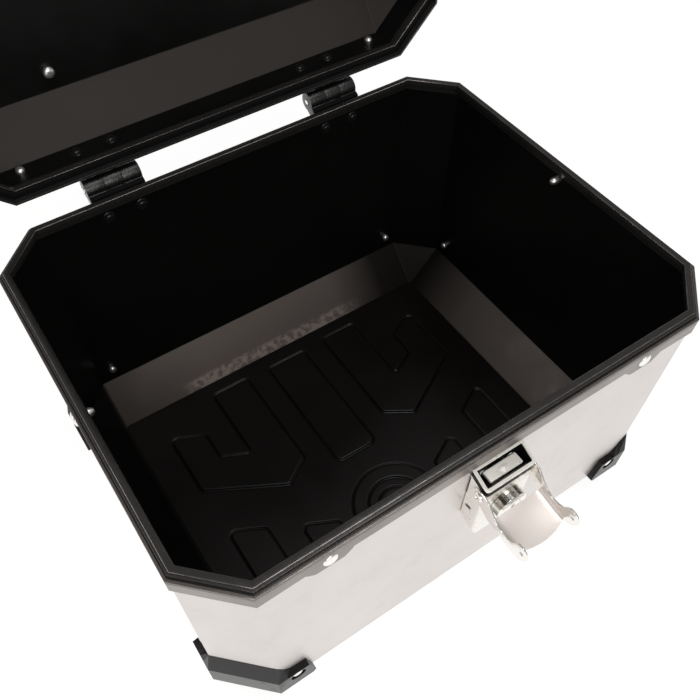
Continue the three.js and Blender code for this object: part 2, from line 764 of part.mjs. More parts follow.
// Lever flange outline in (out, up) about the lever's near end: a waist that clears the strike bar,
// a rounded hook beyond it, and a round end about the pivot.
function flangeOutline() {
  const waist = [[6, 4], [12, -2], [17, -8], [22, -10.5], [27, -9.8], [31, -6.5], [32.3, -1]];
  const hook = [[35.5, 2.5], [40, 3.4], [44, 1.8], [46.3, -3], [46.3, -9], [44, -14], [40, -17.6]];
  const underside = [[36, -17.9], [9, -14.2]];
  const pivotEnd = arcPoints(-2.5, 0, 6, -0.35 * Math.PI, -1.4 * Math.PI, 8);
  return [...waist, ...hook, ...underside, ...pivotEnd];
}

// The lever, standing straight out: two flanges and the paddle between them.
function latchLever() {
  const half = LEVER_INSIDE + LEVER_SHEET;
  const near = PIVOT_Y - 2.5;
  const length = 46;
  const placed = ([out, up]) => [near - out, PIVOT_Z + up];
  const outline = flangeOutline().map(placed);
  const flanges = SIDES.map(([, side]) => alongX(outline, side * LEVER_INSIDE, side * half));
  const strip = [[12, -12.6], [12, -14.2], [42, -18.6], [42, -17]].map(placed);
  const edgeAngle = Math.atan2(length, half);
  const endR = Math.hypot(half, length);
  const roundEnd = arcPoints(0, near + 10, endR, -edgeAngle, edgeAngle - Math.PI, 10);
  const plan = [[half, near - 12], ...roundEnd, [-half, near - 12]];
  const paddle = common(alongX(strip, -half, half), alongZ(plan, PIVOT_Z - 30, PIVOT_Z));
  const pinHole = rodX(BAR_R + GAP, -half - 1, half + 1, PIVOT_Y, PIVOT_Z);
  const tipHole = rodX(1.6, -half - 1, half + 1, near - 40, PIVOT_Z - 6, 10);
  return cut(join(...flanges, paddle), pinHole, tipHole);
}

const leverPin = () =>
  headedPin(LEVER_INSIDE + LEVER_SHEET + GAP, BAR_R, 3.6, 1.4, 0, PIVOT_Y, PIVOT_Z);

// ---- Assembly -----------------------------------------------------------------------------------
// Seats a rivet made along +Y on a wall: `outward` is the wall's normal.
function seatRivet(group, name, geometry, outward, seat) {
  const mesh = piece(group, name, geometry, FASTENER);
  mesh.quaternion.setFromUnitVectors(new THREE.Vector3(0, 1, 0), new THREE.Vector3(...outward));
  mesh.position.set(...seat);
}

function addBodyCorner(group, name, sx, sy) {
  const guard = cornerGuard(sx, sy, bodyRings, BODY_GUARD_TOP, GUARD_RIVET_Z, 1);
  piece(group, "body_guard_" + name, guard, GUARD_PLASTIC);
  const grip = RECESS_SEAT - SHEET_IN + GAP;
  const guardRivet = () => rivet(GUARD_RIVET_HEAD, grip, GUARD_RIVET_TAIL_R);
  const onWall = [sx * GUARD_RIVET_X, sy * (wallY + RECESS_SEAT), GUARD_RIVET_Z];
  const onSide = [sx * (wallX + RECESS_SEAT), sy * GUARD_RIVET_Y, GUARD_RIVET_Z];
  seatRivet(group, "guard_rivet_" + name + "_wall", guardRivet(), [0, sy, 0], onWall);
  seatRivet(group, "guard_rivet_" + name + "_side", guardRivet(), [sx, 0, 0], onSide);
}

function addBandRivets(group, name, side) {
  const seat = BAND_OUT + GAP;
  const bandRivet = () => rivet(BAND_RIVET_HEAD, seat - BAND_IN, 0);
  const onFront = [side * EAR_X, -wallY - seat, EAR_RIVET_Z];
  const onSide = [side * (wallX + seat), 0, EAR_RIVET_Z];
  seatRivet(group, "band_rivet_front_" + name, bandRivet(), [0, -1, 0], onFront);
  seatRivet(group, "band_rivet_side_" + name, bandRivet(), [side, 0, 0], onSide);
}

// One leaf of one hinge, part "body" or "lid", with its two bolts.
function addHingeLeaf(group, part, leaf, name, middle, boltZ) {
  piece(group, "hinge_" + part + "_leaf_" + name, leaf, HINGE_PAINT);
  for (const x of boltXs(middle)) {
    const place = Math.abs(x) > HINGE_X ? "outer" : "inner";
    piece(group, "hinge_" + part + "_bolt_" + name + "_" + place, hingeBolt(x, boltZ), FASTENER);
  }
}

function addLatch(group) {
  piece(group, "latch_housing", latchHousing(), LATCH_STEEL);
  piece(group, "latch_lever_pin", leverPin(), LATCH_STEEL);
  piece(group, "lock_barrel", lockBarrel(), LOCK_STEEL);
  piece(group, "bolt_guide", boltGuide(), LATCH_STEEL);
  piece(group, "latch_lever", latchLever(), LATCH_STEEL);
  piece(group, "lock_plug", lockPlug(), LOCK_STEEL);
  piece(group, "lock_cam", lockCam(), LATCH_STEEL);
  piece(group, "lock_bolt", lockBolt(), LATCH_STEEL);
}

function buildBody() {
  const body = new THREE.Group();
  piece(body, "body_shell", bodyShell(), ALUMINIUM);
  piece(body, "body_rim_frame", bodyRimFrame(), RIM_BLACK);
  piece(body, "body_trim_band", trimBand(), BAND_SILVER);
  piece(body, "floor_mat", floorMat(), RUBBER);
  piece(body, "mounting_plate", mountingPlate(), PLATE_PAINT);
  for (const [name, sx, sy] of CORNERS) addBodyCorner(body, name, sx, sy);
  for (const [name, side] of SIDES) {
    addBandRivets(body, name, side);
    addHingeLeaf(body, "body", bodyLeaf(side * HINGE_X), name, side * HINGE_X, BODY_BOLT_Z);
    piece(body, "hinge_pin_" + name, hingePin(side * HINGE_X), HINGE_PAINT);
  }
  addLatch(body);
  return body;
}

// The lid as it lies shut on the body.
function buildLid() {
  const lid = new THREE.Group();
  piece(lid, "lid_shell", lidShell(), ALUMINIUM);
  piece(lid, "lid_rim_frame", lidRimFrame(), RIM_BLACK);
  piece(lid, "lid_seal", lidSeal(), SEAL_RUBBER);
  for (const [name, sx, sy] of CORNERS) {
    const guard = cornerGuard(sx, sy, lidRings, LID_GUARD_FOOT, LID_GUARD_RIVET_Z, -1);
    piece(lid, "lid_guard_" + name, guard, GUARD_PLASTIC);
    piece(lid, "tie_down_" + name, tieDownLoop(sx * LOOP_X, sy * LOOP_Y), LATCH_STEEL);
  }
  for (const [name, side] of SIDES) {
    addHingeLeaf(lid, "lid", lidLeaf(side * HINGE_X), name, side * HINGE_X, LID_BOLT_Z);
  }
  piece(lid, "lid_strike", lidStrike(), LATCH_STEEL);
  piece(lid, "strike_bar", strikeBar(), LATCH_STEEL);
  return lid;
}

// Swings the shut lid back about the hinge axis.
function standOpen(lid) {
  const pivot = new THREE.Group();
  pivot.position.set(0, AXIS_Y, AXIS_Z);
  pivot.rotation.x = -LID_OPEN;
  lid.position.set(0, -AXIS_Y, -AXIS_Z);
  pivot.add(lid);
  return pivot;
}

const topCase = new THREE.Group();
topCase.name = "top_case";
const body = buildBody();
body.position.z = RIM_Z;
body.add(standOpen(buildLid()));
topCase.add(body);

export default topCase;
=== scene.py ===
"""An octagonal aluminium motorcycle top case with its lid open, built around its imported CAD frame.

Builders work in millimetres from the middle of the rim's top, with the lid shut: +Z up, +Y to the hinges.
"""
import json
import math

import bmesh
import bpy
from mathutils import Matrix, Vector


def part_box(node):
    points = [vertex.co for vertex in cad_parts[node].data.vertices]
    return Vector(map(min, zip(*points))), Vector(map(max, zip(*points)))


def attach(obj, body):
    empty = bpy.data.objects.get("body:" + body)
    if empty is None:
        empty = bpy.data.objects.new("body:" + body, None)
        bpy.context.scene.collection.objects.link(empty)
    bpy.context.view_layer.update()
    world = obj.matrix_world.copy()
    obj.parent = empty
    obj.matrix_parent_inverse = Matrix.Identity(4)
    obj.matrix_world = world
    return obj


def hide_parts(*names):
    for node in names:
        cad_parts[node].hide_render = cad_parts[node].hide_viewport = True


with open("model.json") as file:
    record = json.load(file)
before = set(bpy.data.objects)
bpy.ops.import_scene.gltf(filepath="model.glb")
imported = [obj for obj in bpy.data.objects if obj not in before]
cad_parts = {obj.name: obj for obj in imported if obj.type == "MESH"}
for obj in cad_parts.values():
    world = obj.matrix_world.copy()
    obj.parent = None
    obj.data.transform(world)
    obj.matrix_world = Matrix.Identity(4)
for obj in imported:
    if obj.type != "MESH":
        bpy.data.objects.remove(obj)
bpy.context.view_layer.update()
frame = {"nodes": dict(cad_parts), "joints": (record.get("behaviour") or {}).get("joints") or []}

# ---- Dimensions, in millimetres ----
MM = 0.001
rim_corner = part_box("body_rim_frame")[1]
lid_axis = Vector(next(j for j in frame["joints"] if j["name"] == "lid_hinge")["pos_m"])
lever_axis = Vector(next(j for j in frame["joints"] if j["name"] == "lever_hinge")["pos_m"])
RIM_TOP = rim_corner.z
BAND_OUT = 3.0  # the rim's outermost face, out from its upright lip
WALL_X = rim_corner.x / MM - BAND_OUT
WALL_Y = rim_corner.y / MM - BAND_OUT
AXIS_Y = lid_axis.y / MM
AXIS_Z = (lid_axis.z - RIM_TOP) / MM
PIVOT_Y = lever_axis.y / MM
PIVOT_Z = (lever_axis.z - RIM_TOP) / MM

CHAMFER = 35.4
SHEET = 1.5
SHEET_OUT = 0.7
SHEET_IN = SHEET_OUT - SHEET
BODY_DEPTH = 247.3
BODY_FOLD = 210.5
LID_HEIGHT = 66.5
LID_FOLD = 35.0
RIM_IN = -6.5
RIM_THICKNESS = 5.3
RIM_FOOT = 6.8
TONGUE = 4.2
BAND_IN = 1.0
BAND_HEIGHT = 19.0
LID_FLANGE_TOP = 14.0
LID_FOOT = 5.3
EAR_X = 131.0
EAR_Z = -15.5
EAR_DEPTH = 25.0  # rim top down to the foot of an ear
GUARD_OUT = 6.2
GUARD_X = 165.0
GUARD_Y = 123.0
GUARD_Z = {"body": -193.5, "lid": 26.0}
HINGE_X = 105.0
HINGE_HALF = 23.5
HINGE_BOLT_SPREAD = 14.5  # from a hinge's middle to each of its bolts
HINGE_BOLT_Z = {"body": -20, "lid": 26}
KNUCKLE_R = 8.0
LID_KNUCKLE_HALF = 7.6
PIN_R = 2.9
LOCK_Z = -57.0
LOOP_X = 112.0
LOOP_Y = 124.0
CORNERS = {"front_left": (-1, -1), "front_right": (1, -1), "back_left": (-1, 1), "back_right": (1, 1)}
SIDES = {"left": -1, "right": 1}

IN_BODY = Matrix.Translation((0, 0, RIM_TOP)) @ Matrix.Scale(MM, 4)
lid_pivot = Matrix.Translation((0, AXIS_Y, AXIS_Z))
IN_LID = IN_BODY @ lid_pivot @ Matrix.Rotation(-math.pi / 2, 4, "X") @ lid_pivot.inverted()
# Where the builders' millimetres lie in the CAD's frame, for each body at rest.
PLACE = {"case": IN_BODY, "lid": IN_LID, "lever": IN_BODY, "lock_plug": IN_BODY, "lock_bolt": IN_BODY}
BODY_OF = {"body": "case", "lid": "lid"}  # each half of the case, and the CAD body that it rides on


# ---- Materials ----
def set_sockets(node, **values):
    """Sets a node's input sockets, with an underscore for each space of a name."""
    for name, value in values.items():
        node.inputs[name.replace("_", " ")].default_value = value


class Finish:
    """A node material on one Principled shader, with textures in the object's own coordinates."""

    def __init__(self, name, metallic=0.0, gloss=0.5):
        self.material = bpy.data.materials.new(name)
        self.material.use_nodes = True
        self.tree = self.material.node_tree
        self.shader = self.tree.nodes["Principled BSDF"]
        set_sockets(self.shader, Metallic=metallic, Specular_IOR_Level=gloss)
        self.place = self.tree.nodes.new("ShaderNodeTexCoord").outputs["Object"]
        self.height = None

    def link(self, source, target):
        self.tree.links.new(source, target)

    def noise(self, scale, detail=3.0, stretch=(1, 1, 1), roughness=0.55):
        mapping = self.tree.nodes.new("ShaderNodeMapping")
        set_sockets(mapping, Scale=stretch)
        self.link(self.place, mapping.inputs["Vector"])
        node = self.tree.nodes.new("ShaderNodeTexNoise")
        set_sockets(node, Scale=scale, Detail=detail, Roughness=roughness)
        self.link(mapping.outputs["Vector"], node.inputs["Vector"])
        return node.outputs["Fac"]

    def cells(self, scale):
        node = self.tree.nodes.new("ShaderNodeTexVoronoi")
        set_sockets(node, Scale=scale)
        self.link(self.place, node.inputs["Vector"])
        return node.outputs["Distance"]

    def along(self, axis):
        node = self.tree.nodes.new("ShaderNodeSeparateXYZ")
        self.link(self.place, node.inputs["Vector"])
        return node.outputs[axis]

    def spread(self, source, low, high, to_low, to_high):
        node = self.tree.nodes.new("ShaderNodeMapRange")
        set_sockets(node, From_Min=low, From_Max=high, To_Min=to_low, To_Max=to_high)
        self.link(source, node.inputs["Value"])
        return node.outputs["Result"]

    def blend(self, factor, first, second):
        node = self.tree.nodes.new("ShaderNodeMix")
        node.data_type = "RGBA"
        self.link(factor, node.inputs["Factor"])
        for socket, value in (("A", first), ("B", second)):
            target = [s for s in node.inputs if s.name == socket and s.type == "RGBA"][0]
            if isinstance(value, tuple):
                target.default_value = (*value, 1)
            else:
                self.link(value, target)
        return [s for s in node.outputs if s.type == "RGBA"][0]

    def fade(self, axis, start, full, first, second, least_share=0):
        """Turns first into second between two places in metres along an axis."""
        return self.blend(self.spread(self.along(axis), start, full, least_share, 1), first, second)

    def color(self, source):
        self.link(source, self.shader.inputs["Base Color"])

    def tint(self, factor, first, second):
        self.color(self.blend(factor, first, second))

    def roughness(self, source, low, high, to_low, to_high):
        self.link(self.spread(source, low, high, to_low, to_high), self.shader.inputs["Roughness"])

    def bump(self, source, distance, strength=1.0):
        node = self.tree.nodes.new("ShaderNodeBump")
        set_sockets(node, Strength=strength, Distance=distance)
        self.link(source, node.inputs["Height"])
        if self.height is not None:
            self.link(self.height, node.inputs["Normal"])
        self.height = node.outputs["Normal"]
        self.link(self.height, self.shader.inputs["Normal"])


def sheet_aluminium():
    """Satin anodised sheet: fine horizontal rolling lines, faint clouds and a few dull smudges."""
    finish = Finish("sheet_aluminium", metallic=0.85)
    cloud = finish.noise(7, 4)
    lines = finish.noise(1, 3, stretch=(9, 9, 1600))
    smudge = finish.noise(26, 5, roughness=0.7)
    tint = finish.blend(cloud, (0.665, 0.622, 0.598), (0.735, 0.693, 0.670))
    finish.tint(finish.spread(smudge, 0.55, 0.75, 0, 0.35), tint, (0.60, 0.565, 0.545))
    finish.roughness(smudge, 0.3, 0.75, 0.33, 0.47)
    finish.bump(lines, 0.00001, 0.5)
    finish.bump(cloud, 0.0004, 0.12)
    return finish.material


def band_aluminium():
    """Darker anodised band, brushed along its length."""
    finish = Finish("band_aluminium", metallic=0.8)
    lines = finish.noise(1, 3, stretch=(14, 14, 2600))
    cloud = finish.noise(30, 4)
    finish.tint(lines, (0.235, 0.211, 0.194), (0.32, 0.292, 0.270))
    finish.roughness(cloud, 0.3, 0.7, 0.34, 0.48)
    finish.bump(lines, 0.000015, 0.6)
    return finish.material


def black_coat():
    """Thin black powder coat inside the sheet: fine orange peel, dust and rub marks."""
    finish = Finish("black_coat", gloss=0.3)
    peel = finish.noise(520, 2)
    cloud = finish.noise(14, 5, roughness=0.65)
    dust = finish.spread(finish.noise(900, 2), 0.72, 0.80, 0, 0.5)
    finish.tint(dust, (0.0030, 0.0027, 0.0025), (0.02, 0.019, 0.018))
    finish.roughness(cloud, 0.3, 0.7, 0.30, 0.46)
    finish.bump(peel, 0.00005, 0.35)
    finish.bump(cloud, 0.0012, 0.12)
    return finish.material


def scuffs_and_painted_shade(finish, dusty, low):
    """Scuffs along the foot of the back fold, paler in part as a painted highlight, and painted shade that
    darkens its back-right corner and its left end.
    """
    dark_tone = (0.004, 0.0034, 0.003)
    # Painted shade: the back of the fold darkens, used towards the right end as the back-right corner.
    corner = finish.fade("Y", 0.06, 0.13, dusty, tuple(0.13 * c for c in low))
    # Scuff marks along the foot, paler than the dust: partly a painted highlight.
    marks = finish.spread(finish.noise(170, 2), 0.40, 0.58, 0.1, 1)
    color = finish.blend(marks, dusty, tuple(2.7 * c for c in low))
    limits = (("Z", 0.0170, 0.0140), ("Y", 0.120, 0.125), ("X", -0.112, -0.095), ("X", 0.115, 0.085))
    for axis, start, full in limits:
        color = finish.fade(axis, start, full, dusty, color)
    color = finish.fade("X", 0.085, 0.145, color, corner)
    # Painted shade: the left end fades towards the near-black coat.
    color = finish.fade("X", -0.177, -0.075, dark_tone, color, 0.5)
    return finish.fade("X", -0.182, -0.177, dark_tone, color, 0.05)


def dusty_coat(name, dust, metallic, gloss, wear_and_painted_light):
    """The same coat on the sloping folds, matt and slightly brown with handling; on the body it also takes
    the back fold's scuffs with painted highlight, and painted shade at both ends.
    """
    finish = Finish(name, metallic, gloss)
    cloud = finish.noise(22, 6, roughness=0.7)
    specks = finish.spread(finish.noise(700, 2), 0.66, 0.78, 0, 0.35)
    warmths = ((0.90, 0.76, 0.68), (1.18, 1, 0.92), (1.8, 1.65, 1.55))
    low, high, speck = (tuple(dust * c for c in warmth) for warmth in warmths)
    dusty = finish.blend(specks, finish.blend(cloud, low, high), speck)
    # On the body's folds: scuffs with a painted highlight, and painted shade at the back-right corner and the
    # left end.
    finish.color(scuffs_and_painted_shade(finish, dusty, low) if wear_and_painted_light else dusty)
    finish.roughness(cloud, 0.3, 0.7, 0.44, 0.62)
    finish.bump(finish.noise(520, 2), 0.00005, 0.35)
    finish.bump(finish.noise(34, 3, stretch=(1, 1, 1.6)), 0.0009, 0.35)
    return finish.material


def rim_anodising():
    """Satin dark anodised extrusion, drawn lines along it and slightly rubbed high spots."""
    finish = Finish("rim_anodising", metallic=0.75)
    lines = finish.noise(1, 3, stretch=(18, 18, 2200))
    rub = finish.spread(finish.noise(60, 5, roughness=0.7), 0.52, 0.8, 0, 0.6)
    finish.tint(rub, (0.068, 0.065, 0.0635), (0.098, 0.093, 0.090))
    finish.roughness(rub, 0, 0.6, 0.24, 0.36)
    finish.bump(lines, 0.00001, 0.4)
    return finish.material


def painted_edge_highlight():
    """Paler metal on the dark extrusion's rounded edges: a painted highlight along them, patchy like metal
    rubbed through in places.
    """
    finish = Finish("painted_edge_highlight", metallic=1.0)
    rub = finish.spread(finish.noise(70, 5, roughness=0.7), 0.35, 0.65, 0, 1)
    finish.tint(rub, (0.12, 0.11, 0.105), (0.27, 0.25, 0.238))
    finish.roughness(rub, 0, 1, 0.30, 0.22)
    return finish.material


def rubbed_ledge():
    """The extrusion's outer ledge, rubbed brown and paler where the lid's skirt sits down on it."""
    finish = Finish("rubbed_ledge", metallic=1.0)
    rub = finish.noise(50, 5, roughness=0.7)
    finish.tint(rub, (0.17, 0.146, 0.134), (0.26, 0.228, 0.212))
    finish.roughness(rub, 0.3, 0.7, 0.32, 0.44)
    return finish.material


def mat_rubber():
    """Embossed rubber: fine leather grain, satin sheen, patches of wear, and a painted sheen that pales it
    towards the front.
    """
    finish = Finish("mat_rubber", gloss=0.34)
    grain = finish.cells(780)
    cloud = finish.noise(16, 5, roughness=0.6)
    dark_tone = finish.blend(cloud, (0.0050, 0.0036, 0.0030), (0.0080, 0.0060, 0.0052))
    # Painted sheen: the mat turns paler towards its front.
    finish.color(finish.fade("Y", -0.02, -0.15, dark_tone, (0.0150, 0.0108, 0.0096)))
    finish.roughness(cloud, 0.3, 0.7, 0.26, 0.35)
    finish.bump(grain, 0.00004, 0.2)
    finish.bump(cloud, 0.0006, 0.15)
    return finish.material


def guard_plastic(name, gloss, dark, pale):
    """Moulded black nylon with a spark-eroded grain and scuffed, paler high spots."""
    finish = Finish(name, gloss=gloss)
    grain = finish.noise(1500, 2)
    scuff = finish.spread(finish.noise(90, 6, roughness=0.75), 0.55, 0.75, 0, 0.5)
    finish.tint(scuff, dark, pale)
    finish.roughness(scuff, 0, 0.5, 0.38, 0.55)
    finish.bump(grain, 0.00006, 0.5)
    return finish.material


def hinge_paint():
    """Thick black paint over rough cast metal."""
    finish = Finish("hinge_paint", gloss=0.72)
    lumps = finish.noise(520, 5, roughness=0.75)
    swell = finish.noise(150, 3)
    finish.tint(lumps, (0.003, 0.0028, 0.0027), (0.009, 0.0084, 0.008))
    finish.roughness(lumps, 0.3, 0.7, 0.20, 0.34)
    finish.bump(swell, 0.0012, 0.3)
    finish.bump(lumps, 0.0006, 0.5)
    return finish.material


def bright_nickel(name, base, rough, wave, metallic=1.0):
    """Polished nickel or stainless steel: hairline scratches, slight waviness and cloudy fingerprints."""
    finish = Finish(name, metallic=metallic)
    hair = finish.noise(1, 4, stretch=(2600, 60, 60))
    prints = finish.noise(110, 6, roughness=0.7)
    pale = tuple(min(1.0, c * 1.08) for c in base)
    finish.tint(prints, base, pale)
    finish.roughness(prints, 0.35, 0.75, rough, rough + 0.14)
    finish.bump(finish.noise(45, 2), wave, 0.3)
    finish.bump(hair, 0.000006, 0.4)
    return finish.material


def black_zinc():
    """Black passivated steel of the hinge screws, slightly rubbed on its edges; it also stands as painted
    shade in the latch housing's recesses and as painted shadow marks on its cheeks.
    """
    finish = Finish("black_zinc", metallic=0.7)
    wear = finish.spread(finish.noise(700, 4, roughness=0.7), 0.5, 0.75, 0, 0.5)
    finish.tint(wear, (0.024, 0.023, 0.023), (0.11, 0.105, 0.10))
    finish.roughness(wear, 0, 0.5, 0.20, 0.36)
    return finish.material


def satin_nickel():
    """Glass-beaded nickel of the pressed paddle: soft, slightly pink, with faint handling clouds."""
    finish = Finish("satin_nickel", metallic=0.6)
    cloud = finish.noise(70, 4)
    finish.tint(cloud, (0.80, 0.725, 0.68), (0.87, 0.80, 0.755))
    finish.roughness(cloud, 0.3, 0.7, 0.30, 0.40)
    finish.bump(finish.noise(2200, 2), 0.00001, 0.25)
    return finish.material


def seal_rubber():
    """Soft black closed-cell rubber."""
    finish = Finish("seal_rubber", gloss=0.1)
    pores = finish.cells(1400)
    finish.tint(pores, (0.003, 0.003, 0.003), (0.007, 0.007, 0.007))
    finish.roughness(pores, 0, 0.6, 0.6, 0.8)
    finish.bump(pores, 0.00015, 0.5)
    return finish.material


def plate_paint():
    """Textured black powder coat with paler worn edges of the grain."""
    finish = Finish("plate_paint", gloss=0.45)
    grain = finish.noise(700, 4, roughness=0.7)
    finish.tint(grain, (0.010, 0.010, 0.010), (0.032, 0.031, 0.030))
    finish.roughness(grain, 0.3, 0.7, 0.42, 0.6)
    finish.bump(grain, 0.00025, 0.5)
    return finish.material


ALUMINIUM = sheet_aluminium()
BAND = band_aluminium()
COAT = black_coat()
SLOPE = dusty_coat("dusty_coat_body", 0.14, 0.75, 0.4, True)
LID_SLOPE = dusty_coat("dusty_coat_lid", 0.034, 0.0, 0.22, False)
RIM = rim_anodising()
RIM_EDGE_HIGHLIGHT = painted_edge_highlight()
RIM_LEDGE = rubbed_ledge()
RUBBER = mat_rubber()
GUARD = guard_plastic("guard_plastic", 0.16, (0.008, 0.006, 0.0058), (0.020, 0.0165, 0.016))
# Paler, glossier copy of the guard plastic on the upright faces: a painted reflection of the floor.
GUARD_FACE_REFLECTION = guard_plastic("guard_plastic_painted_reflection", 0.6, (0.026, 0.026, 0.0225), (0.065, 0.065, 0.057))
HINGE = hinge_paint()
LATCH = bright_nickel("latch_nickel", (0.88, 0.85, 0.81), 0.16, 0.0005, 0.9)
HOUSING = bright_nickel("housing_nickel", (0.86, 0.83, 0.785), 0.24, 0.0004, 0.7)
BOLT = bright_nickel("bolt_nickel", (0.91, 0.89, 0.83), 0.24, 0.0003, 0.3)
PADDLE = satin_nickel()
LOCK = bright_nickel("lock_chrome", (0.86, 0.84, 0.80), 0.10, 0.0001)
# Dark and grey copies of the chrome for the barrel's painted reflection bands.
LOCK_DARK = bright_nickel("lock_painted_dark_band", (0.11, 0.105, 0.09), 0.16, 0.0001)
LOCK_GREY = bright_nickel("lock_painted_grey_band", (0.40, 0.385, 0.34), 0.16, 0.0001)
RIVET = bright_nickel("rivet_aluminium", (0.90, 0.885, 0.87), 0.34, 0.0001)
ZINC = black_zinc()
SEAL = seal_rubber()
PLATE = plate_paint()


# ---- Outlines ----
def rounded(points, radius, steps=4):
    """A closed outline with arcs for corners; a point may give its own radius as a third number."""
    out = []
    for i, point in enumerate(points):
        here = Vector(point[:2])
        before = Vector(points[i - 1][:2]) - here
        after = Vector(points[(i + 1) % len(points)][:2]) - here
        r = point[2] if len(point) > 2 else radius
        angle = before.angle(after)
        if r <= 0 or angle > math.radians(179):
            out.append(tuple(here))
            continue
        reach = min(r / math.tan(angle / 2), 0.49 * before.length, 0.49 * after.length)
        r = reach * math.tan(angle / 2)
        middle = here + (before.normalized() + after.normalized()).normalized() * (r / math.sin(angle / 2))
        start = here + before.normalized() * reach - middle
        turn = start.angle_signed(here + after.normalized() * reach - middle)
        for k in range(steps + 1):
            spoke = start.copy()
            spoke.rotate(Matrix.Rotation(-turn * k / steps, 2))
            out.append(tuple(middle + spoke))
    return out


def circle(x, y, r, steps=32):
    turns = [2 * math.pi * k / steps for k in range(steps)]
    return [(x + r * math.cos(turn), y + r * math.sin(turn)) for turn in turns]


def mirrored(points):
    return [(-p[0], *p[1:]) for p in reversed(points)]


def offset_outline(points, distance):
    """A closed anticlockwise outline moved outwards by distance."""
    out = []
    for i, point in enumerate(points):
        here = Vector(point)
        before = (here - Vector(points[i - 1])).normalized()
        after = (Vector(points[(i + 1) % len(points)]) - here).normalized()
        normal = Vector((before.y + after.y, -before.x - after.x))
        out.append(tuple(here + normal * (distance / max(0.2, normal.length_squared / 2))))
    return out


def anticlockwise(points):
    area = sum(a[0] * b[1] - b[0] * a[1] for a, b in zip(points, points[1:] + points[:1]))
    return points if area > 0 else points[::-1]


def octagon(offset, z):
    """The plan's eight corners, moved out by offset, at height z."""
    a, b = WALL_X + offset, WALL_Y + offset
    c = CHAMFER + (2 - math.sqrt(2)) * offset
    quarter = [(a, b - c), (a - c, b)]
    plan = quarter + [(-x, y) for x, y in reversed(quarter)]
    return [(x, y, z) for x, y in plan + [(-x, -y) for x, y in plan]]


def rectangle(half_x, half_y, z):
    """An end rectangle as a ring of eight with doubled corners."""
    corners = ((1, 1), (-1, 1), (-1, -1), (1, -1))
    return [(sx * half_x, sy * half_y, z) for sx, sy in corners for _ in range(2)]


# ---- Mesh building ----
ALONG_Z = Matrix.Identity(4)
ALONG_X = Matrix(((0, 0, 1, 0), (1, 0, 0, 0), (0, 1, 0, 0), (0, 0, 0, 1)))  # outline in (y, z)
ALONG_Y = Matrix(((1, 0, 0, 0), (0, 0, 1, 0), (0, 1, 0, 0), (0, 0, 0, 1)))  # outline in (x, z)


def ring_of(bm, points):
    return [bm.verts.new(p) for p in points]


def bridge(bm, rings, material=0):
    """Faces between neighbouring rings of equal length."""
    for low, high in zip(rings, rings[1:]):
        for i in range(len(low)):
            j = (i + 1) % len(low)
            bm.faces.new((low[i], low[j], high[j], high[i])).material_index = material


def cap(bm, ring, material=0):
    bm.faces.new(ring).material_index = material


# Arc steps of these lengths get the edge material, a painted highlight along the rounded edges.
HIGHLIGHT_EDGE_STEP = (0.15, 0.33)  # lengths of one step of an arc of 0.4 to 0.8 radius


def swept(bm, profile, wear_and_painted_light=0, ledge_z=None, ledge=0):
    """A closed profile of (offset, z) carried round the octagon.

    Its larger rounded edges take the edge material given, a painted highlight, and the flat face at ledge_z
    takes `ledge`.
    """
    rings = [ring_of(bm, octagon(offset, z)) for offset, z in profile]
    for i, ring in enumerate(rings):
        start, end = profile[i - 1], profile[i]
        material = wear_and_painted_light if HIGHLIGHT_EDGE_STEP[0] < math.dist(start, end) < HIGHLIGHT_EDGE_STEP[1] else 0
        if ledge_z is not None and max(abs(start[1] - ledge_z), abs(end[1] - ledge_z)) < 0.02:
            material = ledge
        bridge(bm, [rings[i - 1], ring], material)


def turned(bm, profile, at, normal, steps=32):
    """A profile of (radius, height) turned about the normal at a point; radius 0 closes it."""
    place = Matrix.Translation(at) @ Vector(normal).to_track_quat("Z", "Y").to_matrix().to_4x4()
    rings = []
    for r, h in profile:
        points = [(0, 0)] if r == 0 else circle(0, 0, r, steps)
        rings.append([bm.verts.new(place @ Vector((x, y, h))) for x, y in points])
    for low, high in zip(rings, rings[1:]):
        for i in range(steps):
            j = (i + 1) % steps
            corners = [low[i % len(low)], low[j % len(low)], high[j % len(high)], high[i % len(high)]]
            corners = list(dict.fromkeys(corners))
            if len(corners) > 2:
                bm.faces.new(corners)


def shown(name, data):
    """A new object of the scene that shows data."""
    obj = bpy.data.objects.new(name, data)
    bpy.context.scene.collection.objects.link(obj)
    return obj


def from_curve(bm, curve, place, material=0):
    """Adds a curve's evaluated mesh to bm."""
    holder = shown("curve", curve)
    shape = holder.evaluated_get(bpy.context.evaluated_depsgraph_get())
    mesh = bpy.data.meshes.new_from_object(shape)
    mesh.transform(place)
    for face in mesh.polygons:
        face.material_index = material
    bm.from_mesh(mesh)
    bpy.data.objects.remove(holder)
    bpy.data.meshes.remove(mesh)
    bpy.data.curves.remove(curve)


def plate(bm, outline, low, high, turn=ALONG_Z, holes=(), edge=0.3, material=0):
    """A flat plate with rounded edges and holes, from low to high along the outline's normal."""
    curve = bpy.data.curves.new("outline", "CURVE")
    curve.dimensions = "2D"
    curve.fill_mode = "BOTH"
    for points in (outline, *holes):
        spline = curve.splines.new("POLY")
        spline.points.add(len(points) - 1)
        for target, point in zip(spline.points, points):
            target.co = (*point[:2], 0, 1)
        spline.use_cyclic_u = True
    curve.bevel_depth = edge
    curve.bevel_resolution = 2
    curve.extrude = (high - low) / 2 - edge
    curve.offset = -edge
    from_curve(bm, curve, turn @ Matrix.Translation((0, 0, (low + high) / 2)), material)


